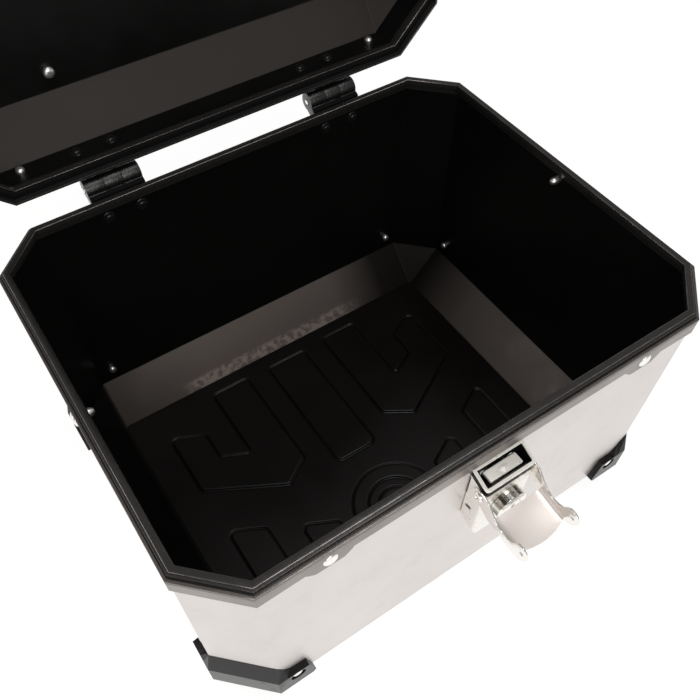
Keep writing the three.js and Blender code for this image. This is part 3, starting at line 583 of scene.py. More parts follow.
def bar(bm, points, radius):
    """A round bar along points, with closed ends."""
    curve = bpy.data.curves.new("bar", "CURVE")
    curve.dimensions = "3D"
    curve.bevel_depth = radius
    curve.bevel_resolution = 5
    curve.use_fill_caps = True
    curve.resolution_u = 8
    spline = curve.splines.new("NURBS")
    spline.points.add(len(points) - 1)
    for target, point in zip(spline.points, points):
        target.co = (*point, 1)
    spline.use_endpoint_u = True
    spline.order_u = 4
    from_curve(bm, curve, ALONG_Z)


def piece(name, bm, materials, body, replaces=(), bevel=0.0, angle=30, in_cad=False):
    """Turns bm into a shown piece that rides on a CAD body."""
    if not in_cad:
        bm.transform(PLACE[body])
    bmesh.ops.remove_doubles(bm, verts=bm.verts, dist=1e-6)
    bmesh.ops.recalc_face_normals(bm, faces=bm.faces)
    mesh = bpy.data.meshes.new(name)
    bm.to_mesh(mesh)
    bm.free()
    for material in materials:
        mesh.materials.append(material)
    mesh.polygons.foreach_set("use_smooth", [True] * len(mesh.polygons))
    mesh.set_sharp_from_angle(angle=math.radians(angle))
    obj = shown(name, mesh)
    if bevel:
        rounding = obj.modifiers.new("rounding", "BEVEL")
        rounding.width = bevel * MM
        rounding.segments = 3
        rounding.limit_method = "ANGLE"
        rounding.angle_limit = math.radians(angle)
        rounding.harden_normals = True
    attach(obj, body)
    if replaces:
        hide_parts(*replaces)


def rivets(name, bm, body, replaces=()):
    piece(name, bm, [RIVET], body, replaces, angle=50)


def softened(name, node, materials, body, width, reshape=None):
    """The CAD piece's own shape, changed by reshape if given, with flat faces merged and edges rounded.

    A second material covers the faces that stand upright while the lid is shut; on the guards it is a paler
    copy, a painted reflection of the floor.
    """
    bm = bmesh.new()
    bm.from_mesh(frame["nodes"][node].data)
    if reshape:
        for vert in bm.verts:
            vert.co = reshape(vert.co)
    bmesh.ops.remove_doubles(bm, verts=bm.verts, dist=2e-6)
    flat = math.radians(0.6)
    bmesh.ops.dissolve_limit(bm, angle_limit=flat, verts=bm.verts, edges=bm.edges)
    bm.normal_update()
    shut = PLACE[body].to_3x3().inverted()
    for face in bm.faces:
        upright = abs((shut @ face.normal).normalized().z) < 0.12
        face.material_index = int(upright and len(materials) > 1)
    piece(name, bm, materials, body, [node], width, 34, in_cad=True)


# ---- Sheet boxes ----
def sheet_box(bm, side, fold, end, mouth):
    """A folded octagonal sheet box, silver outside and coated black inside."""
    inset = end - fold
    shells = []
    for offset in (SHEET_OUT, SHEET_IN):
        spread = (math.sqrt(2) - 1) * offset
        shells.append([
            rectangle(WALL_X - inset + spread, WALL_Y - inset + spread, side * (end + offset)),
            octagon(offset, side * (fold + spread)),
            octagon(offset, mouth),
        ])
    for material, shell in enumerate(shells):
        rings = [ring_of(bm, ring) for ring in shell]
        bridge(bm, rings[:2], 2 * material)
        bridge(bm, rings[1:], material)
        cap(bm, rings[0], material)
    bm.verts.ensure_lookup_table()
    count = len(bm.verts) // 2
    outer, inner = bm.verts[count - 8:count], bm.verts[2 * count - 8:2 * count]
    bridge(bm, [outer, inner])
    bmesh.ops.remove_doubles(bm, verts=bm.verts, dist=1e-3)


def build_sheets():
    bm = bmesh.new()
    sheet_box(bm, -1, BODY_FOLD, BODY_DEPTH, -RIM_THICKNESS)
    piece("body_sheet", bm, [ALUMINIUM, COAT, SLOPE], "case", ["body_shell"], 0.9, 20)
    bm = bmesh.new()
    sheet_box(bm, 1, LID_FOLD, LID_HEIGHT, LID_FOOT)
    piece("lid_sheet", bm, [ALUMINIUM, COAT, LID_SLOPE], "lid", ["lid_shell"], 0.9, 20)


# ---- Rim, trim band and lid frame ----
def build_frames():
    leg = SHEET_IN - 0.3
    bm = bmesh.new()
    # The larger rounded edges of the rim and of the lid's frame are paler metal: a painted highlight.
    swept(bm, rounded([
        (RIM_IN, 0, 0.8),
        (RIM_IN, -RIM_THICKNESS, 0.5),
        (leg - SHEET, -RIM_THICKNESS, 0.2),
        (leg - SHEET, -12, 0.3),
        (leg, -12, 0.3),
        (leg, -RIM_THICKNESS - 0.1, 0),
        (SHEET_OUT + 0.2, -RIM_THICKNESS - 0.1, 0),
        (SHEET_OUT + 0.2, -RIM_FOOT, 0.1),
        (BAND_OUT, -RIM_FOOT, 0.25),
        (BAND_OUT, -TONGUE, 0.45),
        (1.0, -TONGUE, 0.15),
        (0.75, -TONGUE - 0.6, 0.1),
        (0.1, -TONGUE - 0.6, 0.1),
        (0.1, -1.5, 0.3),
        (-1.4, -1.5, 0.15),
        (-1.4, 0, 0.5),
    ], 0.3), wear_and_painted_light=1, ledge_z=-TONGUE, ledge=2)
    piece("rim", bm, [RIM, RIM_EDGE_HIGHLIGHT, RIM_LEDGE], "case", ["body_rim_frame"])

    bm = bmesh.new()
    channel_in, channel_out, roof = RIM_IN + 0.9, 1.0, 3.5
    swept(bm, rounded([
        (BAND_OUT, -TONGUE + 0.3, 0.42),
        (BAND_OUT, 6.1, 0.2),
        (BAND_OUT - 0.8, 6.9, 0.1),
        (BAND_OUT, 7.7, 0.2),
        (BAND_OUT, LID_FLANGE_TOP, 0.6),
        (BAND_IN, LID_FLANGE_TOP, 0.2),
        (BAND_IN, LID_FOOT, 0),
        (leg, LID_FOOT, 0),
        (leg, 12, 0.3),
        (leg - SHEET, 12, 0.3),
        (leg - SHEET, LID_FOOT, 0.2),
        (RIM_IN, LID_FOOT, 0.3),
        (RIM_IN, 0.5, 0.42),
        (channel_in, 0.5, 0.3),
        (channel_in, roof, 0.2),
        (channel_out, roof, 0.2),
        (channel_out, -TONGUE + 0.3, 0.3),
    ], 0.3), wear_and_painted_light=1)
    piece("lid_rim", bm, [RIM, RIM_EDGE_HIGHLIGHT], "lid", ["lid_rim_frame"])

    bm = bmesh.new()
    seal_in, seal_out = channel_in + 0.2, channel_out - 0.2
    swept(bm, rounded([
        (seal_in, roof - 0.1, 0.1),
        (seal_in, 1.0, 0.9),
        (-3.1, 0.35, 1.5),
        (seal_out, 1.0, 0.9),
        (seal_out, roof - 0.1, 0.1),
    ], 0.3))
    piece("seal", bm, [SEAL], "lid", ["lid_seal"])


def build_band():
    """The trim band: eight mitred flats, with a rounded ear on four of them."""
    bm = bmesh.new()
    top = -RIM_FOOT - 0.45
    ear = rounded([
        (-17, -BAND_HEIGHT, 2.5), (-10.5, -EAR_DEPTH, 4), (10.5, -EAR_DEPTH, 4), (17, -BAND_HEIGHT, 2.5),
        (17, -BAND_HEIGHT + 6, 0), (-17, -BAND_HEIGHT + 6, 0),
    ], 0)[:-2]
    heads, feet = [[], []], [[], []]
    for i in range(8):
        for k, ring in enumerate((octagon(BAND_OUT, 0), octagon(BAND_IN, 0))):
            start, end = Vector(ring[i]), Vector(ring[(i + 1) % 8])
            along = (end - start).normalized()
            middle = (start + end) / 2
            centres = []
            if abs(along.x) > 0.99 and start.y < 0:
                centres = [along * (side * EAR_X) + middle for side in (-1, 1)]
            elif abs(along.y) > 0.99:
                centres = [middle]
            foot = [start + Vector((0, 0, -BAND_HEIGHT))]
            for centre in centres:
                foot += [centre + along * u + Vector((0, 0, z)) for u, z in ear]
            heads[k] += ring_of(bm, [start + Vector((0, 0, top))])
            feet[k].append(ring_of(bm, foot))
    for head, foot in zip(heads, feet):
        for i in range(8):
            j = (i + 1) % 8
            bm.faces.new([head[i], *foot[i], foot[j][0], head[j]])
    bridge(bm, [sum(foot, []) for foot in feet])
    bridge(bm, heads)
    piece("trim_band", bm, [BAND], "case", ["body_trim_band"], 0.5, 25)


# ---- Floor mat ----
MAT_SHEET = 2.7
MAT_TOP = -BODY_DEPTH - SHEET_IN + 0.3 + MAT_SHEET
PAD_HEIGHT = 0.8
RING_Y = -86.0
RING_OUT = 42.0
RING_IN = 28.5
DISC_OUT = 17.0


def pad_outlines():
    """Raised pads of the floor mat, as rounded (x, y) outlines."""
    hook = [(48, 120), (48, 6), (75, -11.5), (148, 28.5), (148, 97), (117, 81.5), (117, 51.5), (87, 37)]
    hook.append((87, 120))
    outer_bar = [(117, -39), (117, -120), (148, -120), (148, -22.5)]
    inner_bar = [(57, -70.5), (57, -120), (88, -120), (88, -61), (84, -57)]
    middle_half = [(17.5, -17.5), (21.5, -13.5), (21.5, 118)]
    one_side = [hook, outer_bar, inner_bar]
    middle = mirrored(middle_half) + middle_half
    shapes = one_side + [mirrored(s) for s in one_side] + [middle]
    return [anticlockwise(rounded(shape, 4.5, 5)) for shape in shapes]


def build_mat():
    """The moulded mat: pads, a ring and a disc, each raised in a groove of (distance out, height)."""
    bm = bmesh.new()
    inset = BODY_DEPTH - BODY_FOLD - 0.2
    edge = rounded([(x, y) for x, y, _ in rectangle(WALL_X - inset, WALL_Y - inset, 0)[::2]], 2.5)
    boundary = ring_of(bm, [(x, y, MAT_TOP) for x, y in edge])
    foot = ring_of(bm, [(x * 0.985, y * 0.985, MAT_TOP - MAT_SHEET + 0.1) for x, y in edge])
    bridge(bm, [foot, boundary])
    cap(bm, foot)
    loops = [boundary]
    groove = [(3.4, 0), (2.6, 0), (2.1, -0.12), (1.75, -0.5), (1.55, -1.0), (1.0, -1.25), (0.4, -1.0)]
    groove += [(0.15, -0.2), (0.05, 0.25), (-0.25, 0.6), (-0.8, PAD_HEIGHT), (-1.6, PAD_HEIGHT + 0.06)]
    groove.append((-2.4, PAD_HEIGHT + 0.06))
    medal = [(RING_OUT + o, z) for o, z in groove] + [(RING_IN - o, z) for o, z in reversed(groove)]
    medal += [(DISC_OUT + o, z) for o, z in groove] + [(7, PAD_HEIGHT + 0.1), (5.5, 0.1)]
    levels = [[(offset_outline(outline, o), z) for o, z in groove] for outline in pad_outlines()]
    levels.append([(circle(0, RING_Y, r, 72), z) for r, z in medal])
    for level in levels:
        rings = [ring_of(bm, [(x, y, MAT_TOP + z) for x, y in outline]) for outline, z in level]
        bridge(bm, rings)
        cap(bm, rings[-1])
        loops.append(rings[0])
    rim = [bm.edges.get((loop[i - 1], loop[i])) for loop in loops for i in range(len(loop))]
    bmesh.ops.triangle_fill(bm, use_beauty=True, edges=rim)
    piece("floor_mat_embossed", bm, [RUBBER], "case", ["floor_mat"], angle=40)


# ---- Rivets and corner guards ----
def add_head(bm, at, normal, radius, height):
    """A low domed head with a rounded foot, and the set mark of its mandrel in the middle."""
    turns = [math.radians(t) for t in (8, 20, 34, 48, 62, 74)]
    arc = [(radius * math.cos(turn), height * math.sin(turn)) for turn in turns]
    mark = [(radius * 0.17, height * 0.99), (radius * 0.14, height * 0.93), (0, height * 0.92)]
    turned(bm, [(radius, -0.4), *arc, *mark], at, normal)


def add_tail(bm, at, normal, radius, stretch=1.0):
    """The set end of a blind rivet, inside a wall."""
    bulb = ((0.86, -0.3), (0.86, 0.5), (1, 1.6), (1, 2.8), (0.86, 3.9), (0.55, 4.7), (0.34, 4.9), (0, 4.7))
    profile = [(radius * share, height * stretch) for share, height in bulb]
    turned(bm, profile, at, normal, 24)


def guard_rivets(part, name, sx, sy):
    """Both rivets of one guard: domed heads outside, set tails inside."""
    z = GUARD_Z[part]
    for suffix, at, normal in (
        ("wall", (sx * GUARD_X, sy * WALL_Y, z), (0, sy, 0)),
        ("side", (sx * WALL_X, sy * GUARD_Y, z), (sx, 0, 0)),
    ):
        bm = bmesh.new()
        wall, out = Vector(at), Vector(normal)
        add_head(bm, wall + out * (GUARD_OUT - 2.5), out, 5.2, 2.3)
        add_tail(bm, wall + out * SHEET_IN, -out, 3.7)
        replaced = [f"guard_rivet_{name}_{suffix}"] if part == "body" else []
        rivets(f"{part}_rivet_{name}_{suffix}", bm, BODY_OF[part], replaced)


# A guard's upper edge: (height in the CAD, shift along the wall, inner height, outer height) from the rivet.
GUARD_SLANT = ((9, 8, 8.4, 6.6), (14, 8, 9, 6.8), (16.4, 7.4, 10, 7), (32, 13, 17, 7.4))
GUARD_CORNER = (0, 31, 8)  # shift and heights of its middle, over the case's corner


def slanted(part):
    """How a point of a guard moves so that the edge towards the mouth slants and the tabs narrow."""
    place = PLACE[BODY_OF[part]]
    into, up = place.inverted(), 1 if part == "body" else -1

    def moved(point):
        x, y, z = into @ point
        chamfer_out = (abs(x) + abs(y) - WALL_X - WALL_Y + CHAMFER) / math.sqrt(2)
        out = max(abs(x) - WALL_X, abs(y) - WALL_Y, chamfer_out)
        height = up * (z - GUARD_Z[part])
        on_long, on_short = abs(y) > WALL_Y + 0.4, abs(x) > WALL_X + 0.4
        along = abs(x) - GUARD_X if on_long else abs(y) - GUARD_Y
        shift = 0
        if height > 7:
            step = next((i for i in range(2) if height < GUARD_SLANT[i + 1][0]), 2)
            low, high = GUARD_SLANT[step], GUARD_SLANT[step + 1]
            share = (height - low[0]) / (high[0] - low[0])
            shift, inner, outer = (a + (b - a) * share for a, b in zip(low[1:], high[1:]))
            if along > 5 or not (on_long or on_short):
                shift, inner, outer = GUARD_CORNER
            height = outer if out > 4 else inner if part == "body" else height
        elif along < -15 and height > -14:
            shift, height = 3.5, height - 3.5
        if on_long:
            x += math.copysign(shift, x)
        elif on_short:
            y += math.copysign(shift, y)
        x = math.copysign(min(abs(x), WALL_X + GUARD_OUT - 0.05), x)
        return place @ Vector((x, y, GUARD_Z[part] + up * height))

    return moved


def build_guards():
    looks = [GUARD, GUARD_FACE_REFLECTION]
    for name, (sx, sy) in CORNERS.items():
        for part, title in (("body", f"guard_{name}"), ("lid", f"lid_corner_{name}")):
            softened(title, f"{part}_guard_{name}", looks, BODY_OF[part], 0.8, slanted(part))
        guard_rivets("body", name, sx, sy)
        guard_rivets("lid", name, sx, sy)


def build_band_rivets():
    for name, side in SIDES.items():
        for place, at, normal in (
            ("front", (side * EAR_X, -WALL_Y - BAND_OUT, EAR_Z), (0, -1, 0)),
            ("side", (side * (WALL_X + BAND_OUT), 0, EAR_Z), (side, 0, 0)),
        ):
            bm = bmesh.new()
            add_head(bm, at, normal, 5.3, 2.0)
            inside = Vector(at) - Vector(normal) * (BAND_OUT - SHEET_IN)
            add_tail(bm, inside, -Vector(normal), 3.4, 2.05 if place == "side" else 1.0)
            rivets(f"ear_rivet_{place}_{name}", bm, "case", [f"band_rivet_{place}_{name}"])


# ---- Hinges ----
LEAF_WALL = WALL_Y + 1.0
LEAF_BACK = WALL_Y + BAND_OUT + 0.3
LEAF_FRONT = LEAF_BACK + 2.7
LEAF_FOOT = -30.0
LEAF_HEAD = 33.5
SHELF_Y = AXIS_Y - 8.6
WEB_Y = 180.0  # where the edge between the two webs bends towards the wall


def knuckle(bm, middle, start, end):
    """One length of the hinge's barrel, with close-fitting ends."""
    length = end - start
    r = 0.25
    corner = [(KNUCKLE_R - r + r * math.sin(a), r - r * math.cos(a)) for a in (0, 0.52, 1.05, 1.57)]
    profile = [(0, 0), *corner, *[(x, length - h) for x, h in reversed(corner)], (0, length)]
    turned(bm, profile, (middle + start, AXIS_Y, AXIS_Z), (1, 0, 0), 48)


def hinge_leaf(title, part, name, foot, web, shelf, spans):
    """A foot across the whole hinge, a web under each length of barrel, and a shelf that closes the gaps."""
    bm = bmesh.new()
    middle = SIDES[name] * HINGE_X
    left, right = middle - HINGE_HALF, middle + HINGE_HALF
    plate(bm, rounded(foot, 0.8), left, right, ALONG_X, edge=0.6)
    # The shelf is near-black rubber: painted shade below the barrel.
    plate(bm, rounded(shelf, 0.4), left + 0.2, right - 0.2, ALONG_X, edge=0.3, material=1)
    for start, end in spans:
        plate(bm, rounded(web, 0.5), middle + start + 0.05, middle + end - 0.05, ALONG_X, edge=0.2)
        knuckle(bm, middle, start, end)
    node = f"hinge_{part}_leaf_{name}"
    piece(title, bm, [HINGE, SEAL], BODY_OF[part], [node], angle=40)


def hinge_bolts(part, name):
    """Both screws of one leaf: a socket head outside and a domed nut inside."""
    z = HINGE_BOLT_Z[part]
    for spread in (-HINGE_BOLT_SPREAD, HINGE_BOLT_SPREAD):
        x = SIDES[name] * HINGE_X + spread
        end = "outer" if abs(x) > HINGE_X else "inner"
        bm = bmesh.new()
        socket = [(4.6, -0.4), (4.6, 1.2), (4.2, 2.0), (3.2, 2.6), (2.0, 2.75), (1.9, 1.2), (0, 1.2)]
        turned(bm, socket, (x, LEAF_FRONT + 0.2, z), (0, 1, 0))
        inside = [(5.4, -0.4), (5.4, 0.4), (5, 0.75), (3.9, 0.85), (3.7, 1.9), (3, 2.6), (1.5, 2.9), (0, 2.9)]
        turned(bm, inside, (x, WALL_Y + SHEET_IN, z), (0, -1, 0))
        node = f"hinge_{part}_bolt_{name}_{end}"
        piece(f"screw_{part}_{name}_{end}", bm, [ZINC], BODY_OF[part], [node], angle=40)


def build_hinges():
    """Each hinge has two leaves, four screws and a riveted pin."""
    body_foot = [
        (LEAF_WALL, LEAF_FOOT), (LEAF_FRONT, LEAF_FOOT, 1.5), (LEAF_FRONT, -7), (LEAF_BACK, -7),
        (LEAF_BACK, -BAND_HEIGHT - 0.3, 0), (LEAF_WALL, -BAND_HEIGHT - 0.3, 0),
    ]
    body_web = [
        (LEAF_BACK, -14), (LEAF_FRONT, -14, 3), (AXIS_Y + 1, -7.2, 3), (AXIS_Y, -1), (WEB_Y, -1),
        (LEAF_BACK, -6),
    ]
    body_shelf = [(LEAF_BACK, -14), (LEAF_FRONT, -14), (SHELF_Y, -3), (SHELF_Y, -1), (LEAF_BACK, -2.5)]
    lid_foot = [
        (LEAF_BACK, 7.8), (LEAF_FRONT, 7.8), (LEAF_FRONT, LEAF_HEAD, 1.5), (LEAF_WALL, LEAF_HEAD),
        (LEAF_WALL, LID_FLANGE_TOP + 0.3, 0), (LEAF_BACK, LID_FLANGE_TOP + 0.3, 0),
    ]
    lid_web = [
        (LEAF_BACK, 6.8), (WEB_Y, 1.8), (AXIS_Y, 1.8), (AXIS_Y + 1, 7.8, 3), (LEAF_FRONT, 16.8, 3),
        (LEAF_BACK, 16.8),
    ]
    lid_shelf = [(LEAF_BACK, 7.8), (SHELF_Y, 2.5), (SHELF_Y, 5.5), (LEAF_FRONT, 16.8), (LEAF_BACK, 16.8)]
    gap = LID_KNUCKLE_HALF + 0.1
    body_spans, lid_spans = [(-HINGE_HALF, -gap), (gap, HINGE_HALF)], [(-LID_KNUCKLE_HALF, LID_KNUCKLE_HALF)]
    rivet = [(2.3, 0), (2.3, 0.4), (1.9, 0.75), (0.9, 0.95), (0, 1.0)]
    for name, side in SIDES.items():
        hinge_leaf(f"hinge_{name}", "body", name, body_foot, body_web, body_shelf, body_spans)
        hinge_leaf(f"lid_hinge_{name}", "lid", name, lid_foot, lid_web, lid_shelf, lid_spans)
        hinge_bolts("body", name)
        hinge_bolts("lid", name)
        bm = bmesh.new()
        middle = Vector((side * HINGE_X, AXIS_Y, AXIS_Z))
        for end in (-1, 1):
            along = Vector((end, 0, 0))
            turned(bm, rivet, middle + along * (HINGE_HALF - 0.1), along)
        pin = [(0, 0), (PIN_R, 0), (PIN_R, 2 * HINGE_HALF), (0, 2 * HINGE_HALF)]
        turned(bm, pin, middle - Vector((HINGE_HALF, 0, 0)), (1, 0, 0))
        piece(f"pin_{name}", bm, [RIVET], "case", [f"hinge_pin_{name}"], angle=40)


# ---- Lid hardware ----
def build_tie_downs():
    """Bent bars on foot plates with two rivet heads each; one tail shows inside the lid."""
    seat = LID_HEIGHT + SHEET_OUT + 0.3
    half = [(9, 13.5), (14, 13.2), (16, 10.5), (16, 6), (16, 1)]
    bend = [(-u, z) for u, z in reversed(half)] + half
    foot = rounded([(27, 8), (-27, 8), (-27, -8), (27, -8)], 5)
    for name, (sx, sy) in CORNERS.items():
        x, y = sx * LOOP_X, sy * LOOP_Y
        bm = bmesh.new()
        plate(bm, [(x + u, y + v) for u, v in foot], seat - 0.2, seat + 2.4, edge=0.7)
        bar(bm, [(x + u, y, seat + z) for u, z in bend], 2.6)
        piece(f"loop_{name}", bm, [LATCH], "lid", [f"tie_down_{name}"], angle=40)
        bm = bmesh.new()
        for end in (-22, 22):
            add_head(bm, (x + end, y, seat + 2.4), (0, 0, 1), 3.6, 1.5)
        add_tail(bm, (x, y, LID_HEIGHT + SHEET_IN), (0, 0, -1), 4.6)
        rivets(f"loop_rivets_{name}", bm, "lid")


BAR_Y = -188.0
BAR_Z = -6.5
STRIKE_HALF = 19.0


def build_strike():
    """A bent plate on the lid's front, with two ears that carry a rod under the rim."""
    front = -WALL_Y - BAND_OUT - 0.3
    wall = -WALL_Y - 1.0
    face = front - 2
    outline = [
        (front, 0), (front, LID_FLANGE_TOP + 0.3), (wall, LID_FLANGE_TOP + 2), (wall, 31), (face, 31, 2),
        (face, 0, 1),
    ]
    under, over = BAR_Z - 5, BAR_Z + 5
    ear = [(face + 1, 14), (face + 1, 0.5), (BAR_Y + 5, under), (BAR_Y - 4, under), (BAR_Y - 4, over)]
    ear.append((face - 4, 11))
    bm = bmesh.new()
    plate(bm, rounded(outline, 0.5), -STRIKE_HALF, STRIKE_HALF, ALONG_X, edge=0.5)
    for low, high in ((-17, -15), (15, 17)):
        plate(bm, rounded(ear, 3), low, high, ALONG_X, holes=[circle(BAR_Y, BAR_Z, 2.2, 20)], edge=0.4)
    piece("strike", bm, [LATCH], "lid", ["lid_strike"], angle=40)
    bm = bmesh.new()
    rod = [(0, 0), (1.6, 0), (2, 0.4), (2, 48.6), (1.6, 49), (0, 49)]
    turned(bm, rod, (-24.5, BAR_Y, BAR_Z), (1, 0, 0), 24)
    piece("strike_rod", bm, [LATCH], "lid", ["strike_bar"], angle=40)
    bm = bmesh.new()
    rivet_z = 23
    for x in (-11, 11):
        add_head(bm, (x, face, rivet_z), (0, -1, 0), 3.8, 1.6)
        add_tail(bm, (x, -WALL_Y - SHEET_IN, rivet_z), (0, 1, 0), 3.4)
    rivets("strike_rivets", bm, "lid")


# ---- Latch ----
HOUSING_BACK = -WALL_Y - 1.0
HOUSING_FRONT = -189.5
HOUSING_HALF = 21.0
BARREL_OUT = 8.4
BARREL_BACK = -181.0
# Width of each painted reflection band round the barrel.
BARREL_FACET = 12  # degrees
PLUG_BACK = -179.3
PLUG_R = 6.5
LEVER_INSIDE = 21.3  # from the lever's middle to its flanges
LEVER_SHEET = 1.5


def build_housing():
    """A pressed box, open at the top, whose mouth and floor both slope down to the front."""
    bm = bmesh.new()

    def ring(inset, back_z, front_z):
        half, front, back = HOUSING_HALF - inset, HOUSING_FRONT + inset, HOUSING_BACK - inset
        corner = 3 - inset
        plan = [(-half, back, 0.4), (-half, front, corner), (half, front, corner), (half, back, 0.4)]
        slope = (front_z - back_z) / (HOUSING_FRONT - HOUSING_BACK)
        return ring_of(bm, [(x, y, back_z + slope * (y - HOUSING_BACK)) for x, y in rounded(plan, 1)])

    levels = [(0, -83.5, -92), (0, -28.5, -35.5), (1.2, -26.2, -33.2), (1.2, -23.6, -30.6), (0, -23.2, -30.2)]
    levels += [(0, -21, -28), (2.0, -21, -28), (2.0, -22.6, -29.6), (1.4, -22.6, -29.6), (1.4, -82, -90.5)]
    rings = [ring(*level) for level in levels]
    bridge(bm, rings[:2])
    # The groove under the top frame, the inside of the mouth and its floor are black zinc: painted shade in
    # these recesses.
    bridge(bm, rings[1:5], 1)
    bridge(bm, rings[4:8], 2)
    bridge(bm, rings[7:], 1)
    cap(bm, rings[0])
    cap(bm, rings[-1], 1)
    piece("housing", bm, [HOUSING, ZINC, BOLT], "case", ["latch_housing"], 0.45, 35)
    bm = bmesh.new()
    for x in (-12, 12):
        for z in (-33, -74):
            add_head(bm, (x, HOUSING_BACK - 1.4, z), (0, -1, 0), 3.2, 1.2)
            add_tail(bm, (x, -WALL_Y - SHEET_IN, z), (0, 1, 0), 3.4)
    # Painted shadow: thin dark plates on both cheeks, a spot and an upright line.
    shadow_spot = rounded([(-181, -67.5), (-175.4, -68.5), (-175.4, -65.5), (-180.5, -64)], 1.4)
    shadow_line = [(-173.9, -52), (-173.3, -52), (-173.3, -31), (-173.9, -31)]
    for low in (-HOUSING_HALF - 0.15, HOUSING_HALF - 0.1):
        for outline in (shadow_spot, shadow_line):
            plate(bm, outline, low, low + 0.25, ALONG_X, edge=0.05, material=1)
    piece("housing_rivets", bm, [RIVET, ZINC], "case", angle=50)


def build_lock():
    """A barrel whose outside is painted in dark, bright and grey bands as reflections, round a plug with a
    keyway.
    """
    front = HOUSING_FRONT - BARREL_OUT
    bm = bmesh.new()
    middle = Vector((0, BARREL_BACK, LOCK_Z))
    reach = BARREL_BACK - front
    profile = [(6.8, 0), (11, 0), (11, 8.8), (12.6, 8.8), (12.7, 9.6), (12.4, reach - 1.2)]
    profile += [(11.6, reach - 0.3), (11, reach), (7.4, reach), (6.9, reach - 0.5), (6.8, 0)]
    turned(bm, profile, middle, (0, -1, 0), 30)
    # Painted reflection: the outside faces alternate dark, bright and grey in bands.
    for face in bm.faces:
        spoke = face.calc_center_median() - middle
        turn = int(math.degrees(math.atan2(spoke.z, spoke.x)) // BARREL_FACET)
        outside = math.hypot(spoke.x, spoke.z) > 12
        face.material_index = (1, 0, 2, 0, 2)[turn % 5] if outside else 0
    piece("barrel", bm, [LOCK, LOCK_DARK, LOCK_GREY], "case", ["lock_barrel"])
    bm = bmesh.new()
    slot = [(-1.1, -4.2), (1.1, -4.2), (1.1, -1), (1.9, -1), (1.9, 1), (1.1, 1), (1.1, 4.2), (-1.1, 4.2)]
    keyway = [(x, z + LOCK_Z) for x, z in slot]
    plate(bm, circle(0, LOCK_Z, PLUG_R, 48), front + 0.2, PLUG_BACK, ALONG_Y, holes=[keyway], edge=0.3)
    piece("plug", bm, [LOCK], "lock_plug", ["lock_plug"], angle=40)


def flange_outline():
    """The lever's flange in (out, up) from its near end, as corners with their own radii."""
    waist = [(6, 4, 2), (12, -2.5, 4), (17, -7.6, 4), (22, -9.6, 6), (28, -9.4, 4), (32, -7.5, 2)]
    hook = [(34, -4, 2), (37, -1.2, 3), (41, -0.8, 3), (44.5, -2.6, 3), (46.3, -6, 3), (46.3, -10, 3)]
    hook += [(44, -14.4, 3), (40, -17.6, 2)]
    underside = [(36, -17.9, 2), (9, -14.2, 4), (-3, -6.2, 4)]
    pivot_end = [(-8.5, -3, 4), (-8.5, 3.5, 4), (-2, 6.2, 4)]
    return waist + hook + underside + pivot_end


def border(rows):
    """The vertices round a grid's edge, in order."""
    end, start = [row[-1] for row in rows[1:]], [row[0] for row in rows[-2:0:-1]]
    return rows[0] + end + rows[-1][-2::-1] + start


def build_lever():
    """A pressed lever: two flanges and a dished paddle with a round end, one sheet bent three ways."""
    near = PIVOT_Y - 2.5
    bm = bmesh.new()
    outline = rounded([(near - p[0], PIVOT_Z + p[1], *p[2:]) for p in flange_outline()], 2)
    holes = [circle(PIVOT_Y, PIVOT_Z, 2.2, 24), circle(near - 41, PIVOT_Z - 7.5, 1.6, 20)]
    for low in (-LEVER_INSIDE - LEVER_SHEET, LEVER_INSIDE):
        plate(bm, outline, low, low + LEVER_SHEET, ALONG_X, holes=holes, edge=0.35)

    bend = 3.0
    half = LEVER_INSIDE + 0.1
    section = [(-half + bend * (1 - math.cos(a)), bend * (1 - math.sin(a))) for a in (0, 0.39, 0.78, 1.18)]
    section += [(-half + bend + (half - bend) * k / 6, 0) for k in range(6)]
    section += [(0, 0)] + [(-x, z) for x, z in reversed(section)]
    start = near - 12
    end_r = math.hypot(half, 46)

    def paddle_point(x, lift, share):
        end = near + 10 - math.sqrt(end_r ** 2 - x ** 2)
        y = start + (end - start) * share
        out = near - y
        z = PIVOT_Z - 12.6 - (out - 12) * 0.147
        tip = max(0.0, (out - 30) / 12)
        dish = 0.9 * math.sin(math.pi * min(1.0, max(0.0, (out - 12) / 34))) * (1 - (x / half) ** 2)
        return Vector((x, y, z + lift * (1 - 0.5 * tip) - dish - 0.9 * tip * tip))

    rows = 14
    top = [[paddle_point(x, lift, k / rows) for x, lift in section] for k in range(rows + 1)]
    upper = [ring_of(bm, row) for row in top]
    lower = [ring_of(bm, [p - Vector((0, 0, LEVER_SHEET)) for p in row]) for row in top]
    for layer in (upper, lower):
        for a, b in zip(layer, layer[1:]):
            for i in range(len(a) - 1):
                bm.faces.new((a[i], a[i + 1], b[i + 1], b[i])).material_index = 1
    bridge(bm, [border(upper), border(lower)])
    piece("lever", bm, [LATCH, PADDLE], "lever", ["latch_lever"], 0.25, 42)

    bm = bmesh.new()
    reach = LEVER_INSIDE + LEVER_SHEET + 0.2
    end = [(0, 0.5), (1.3, 0.5), (1.6, 1.3), (2.6, 1.3), (3.7, 0.8), (4.0, 0), (2, -0.1)]
    head = [(r, -h) for r, h in end] + [(r, 2 * reach + h) for r, h in reversed(end)]
    turned(bm, head, (-reach, PIVOT_Y, PIVOT_Z), (1, 0, 0))
    piece("lever_pin", bm, [LATCH], "case", ["latch_lever_pin"], angle=40)


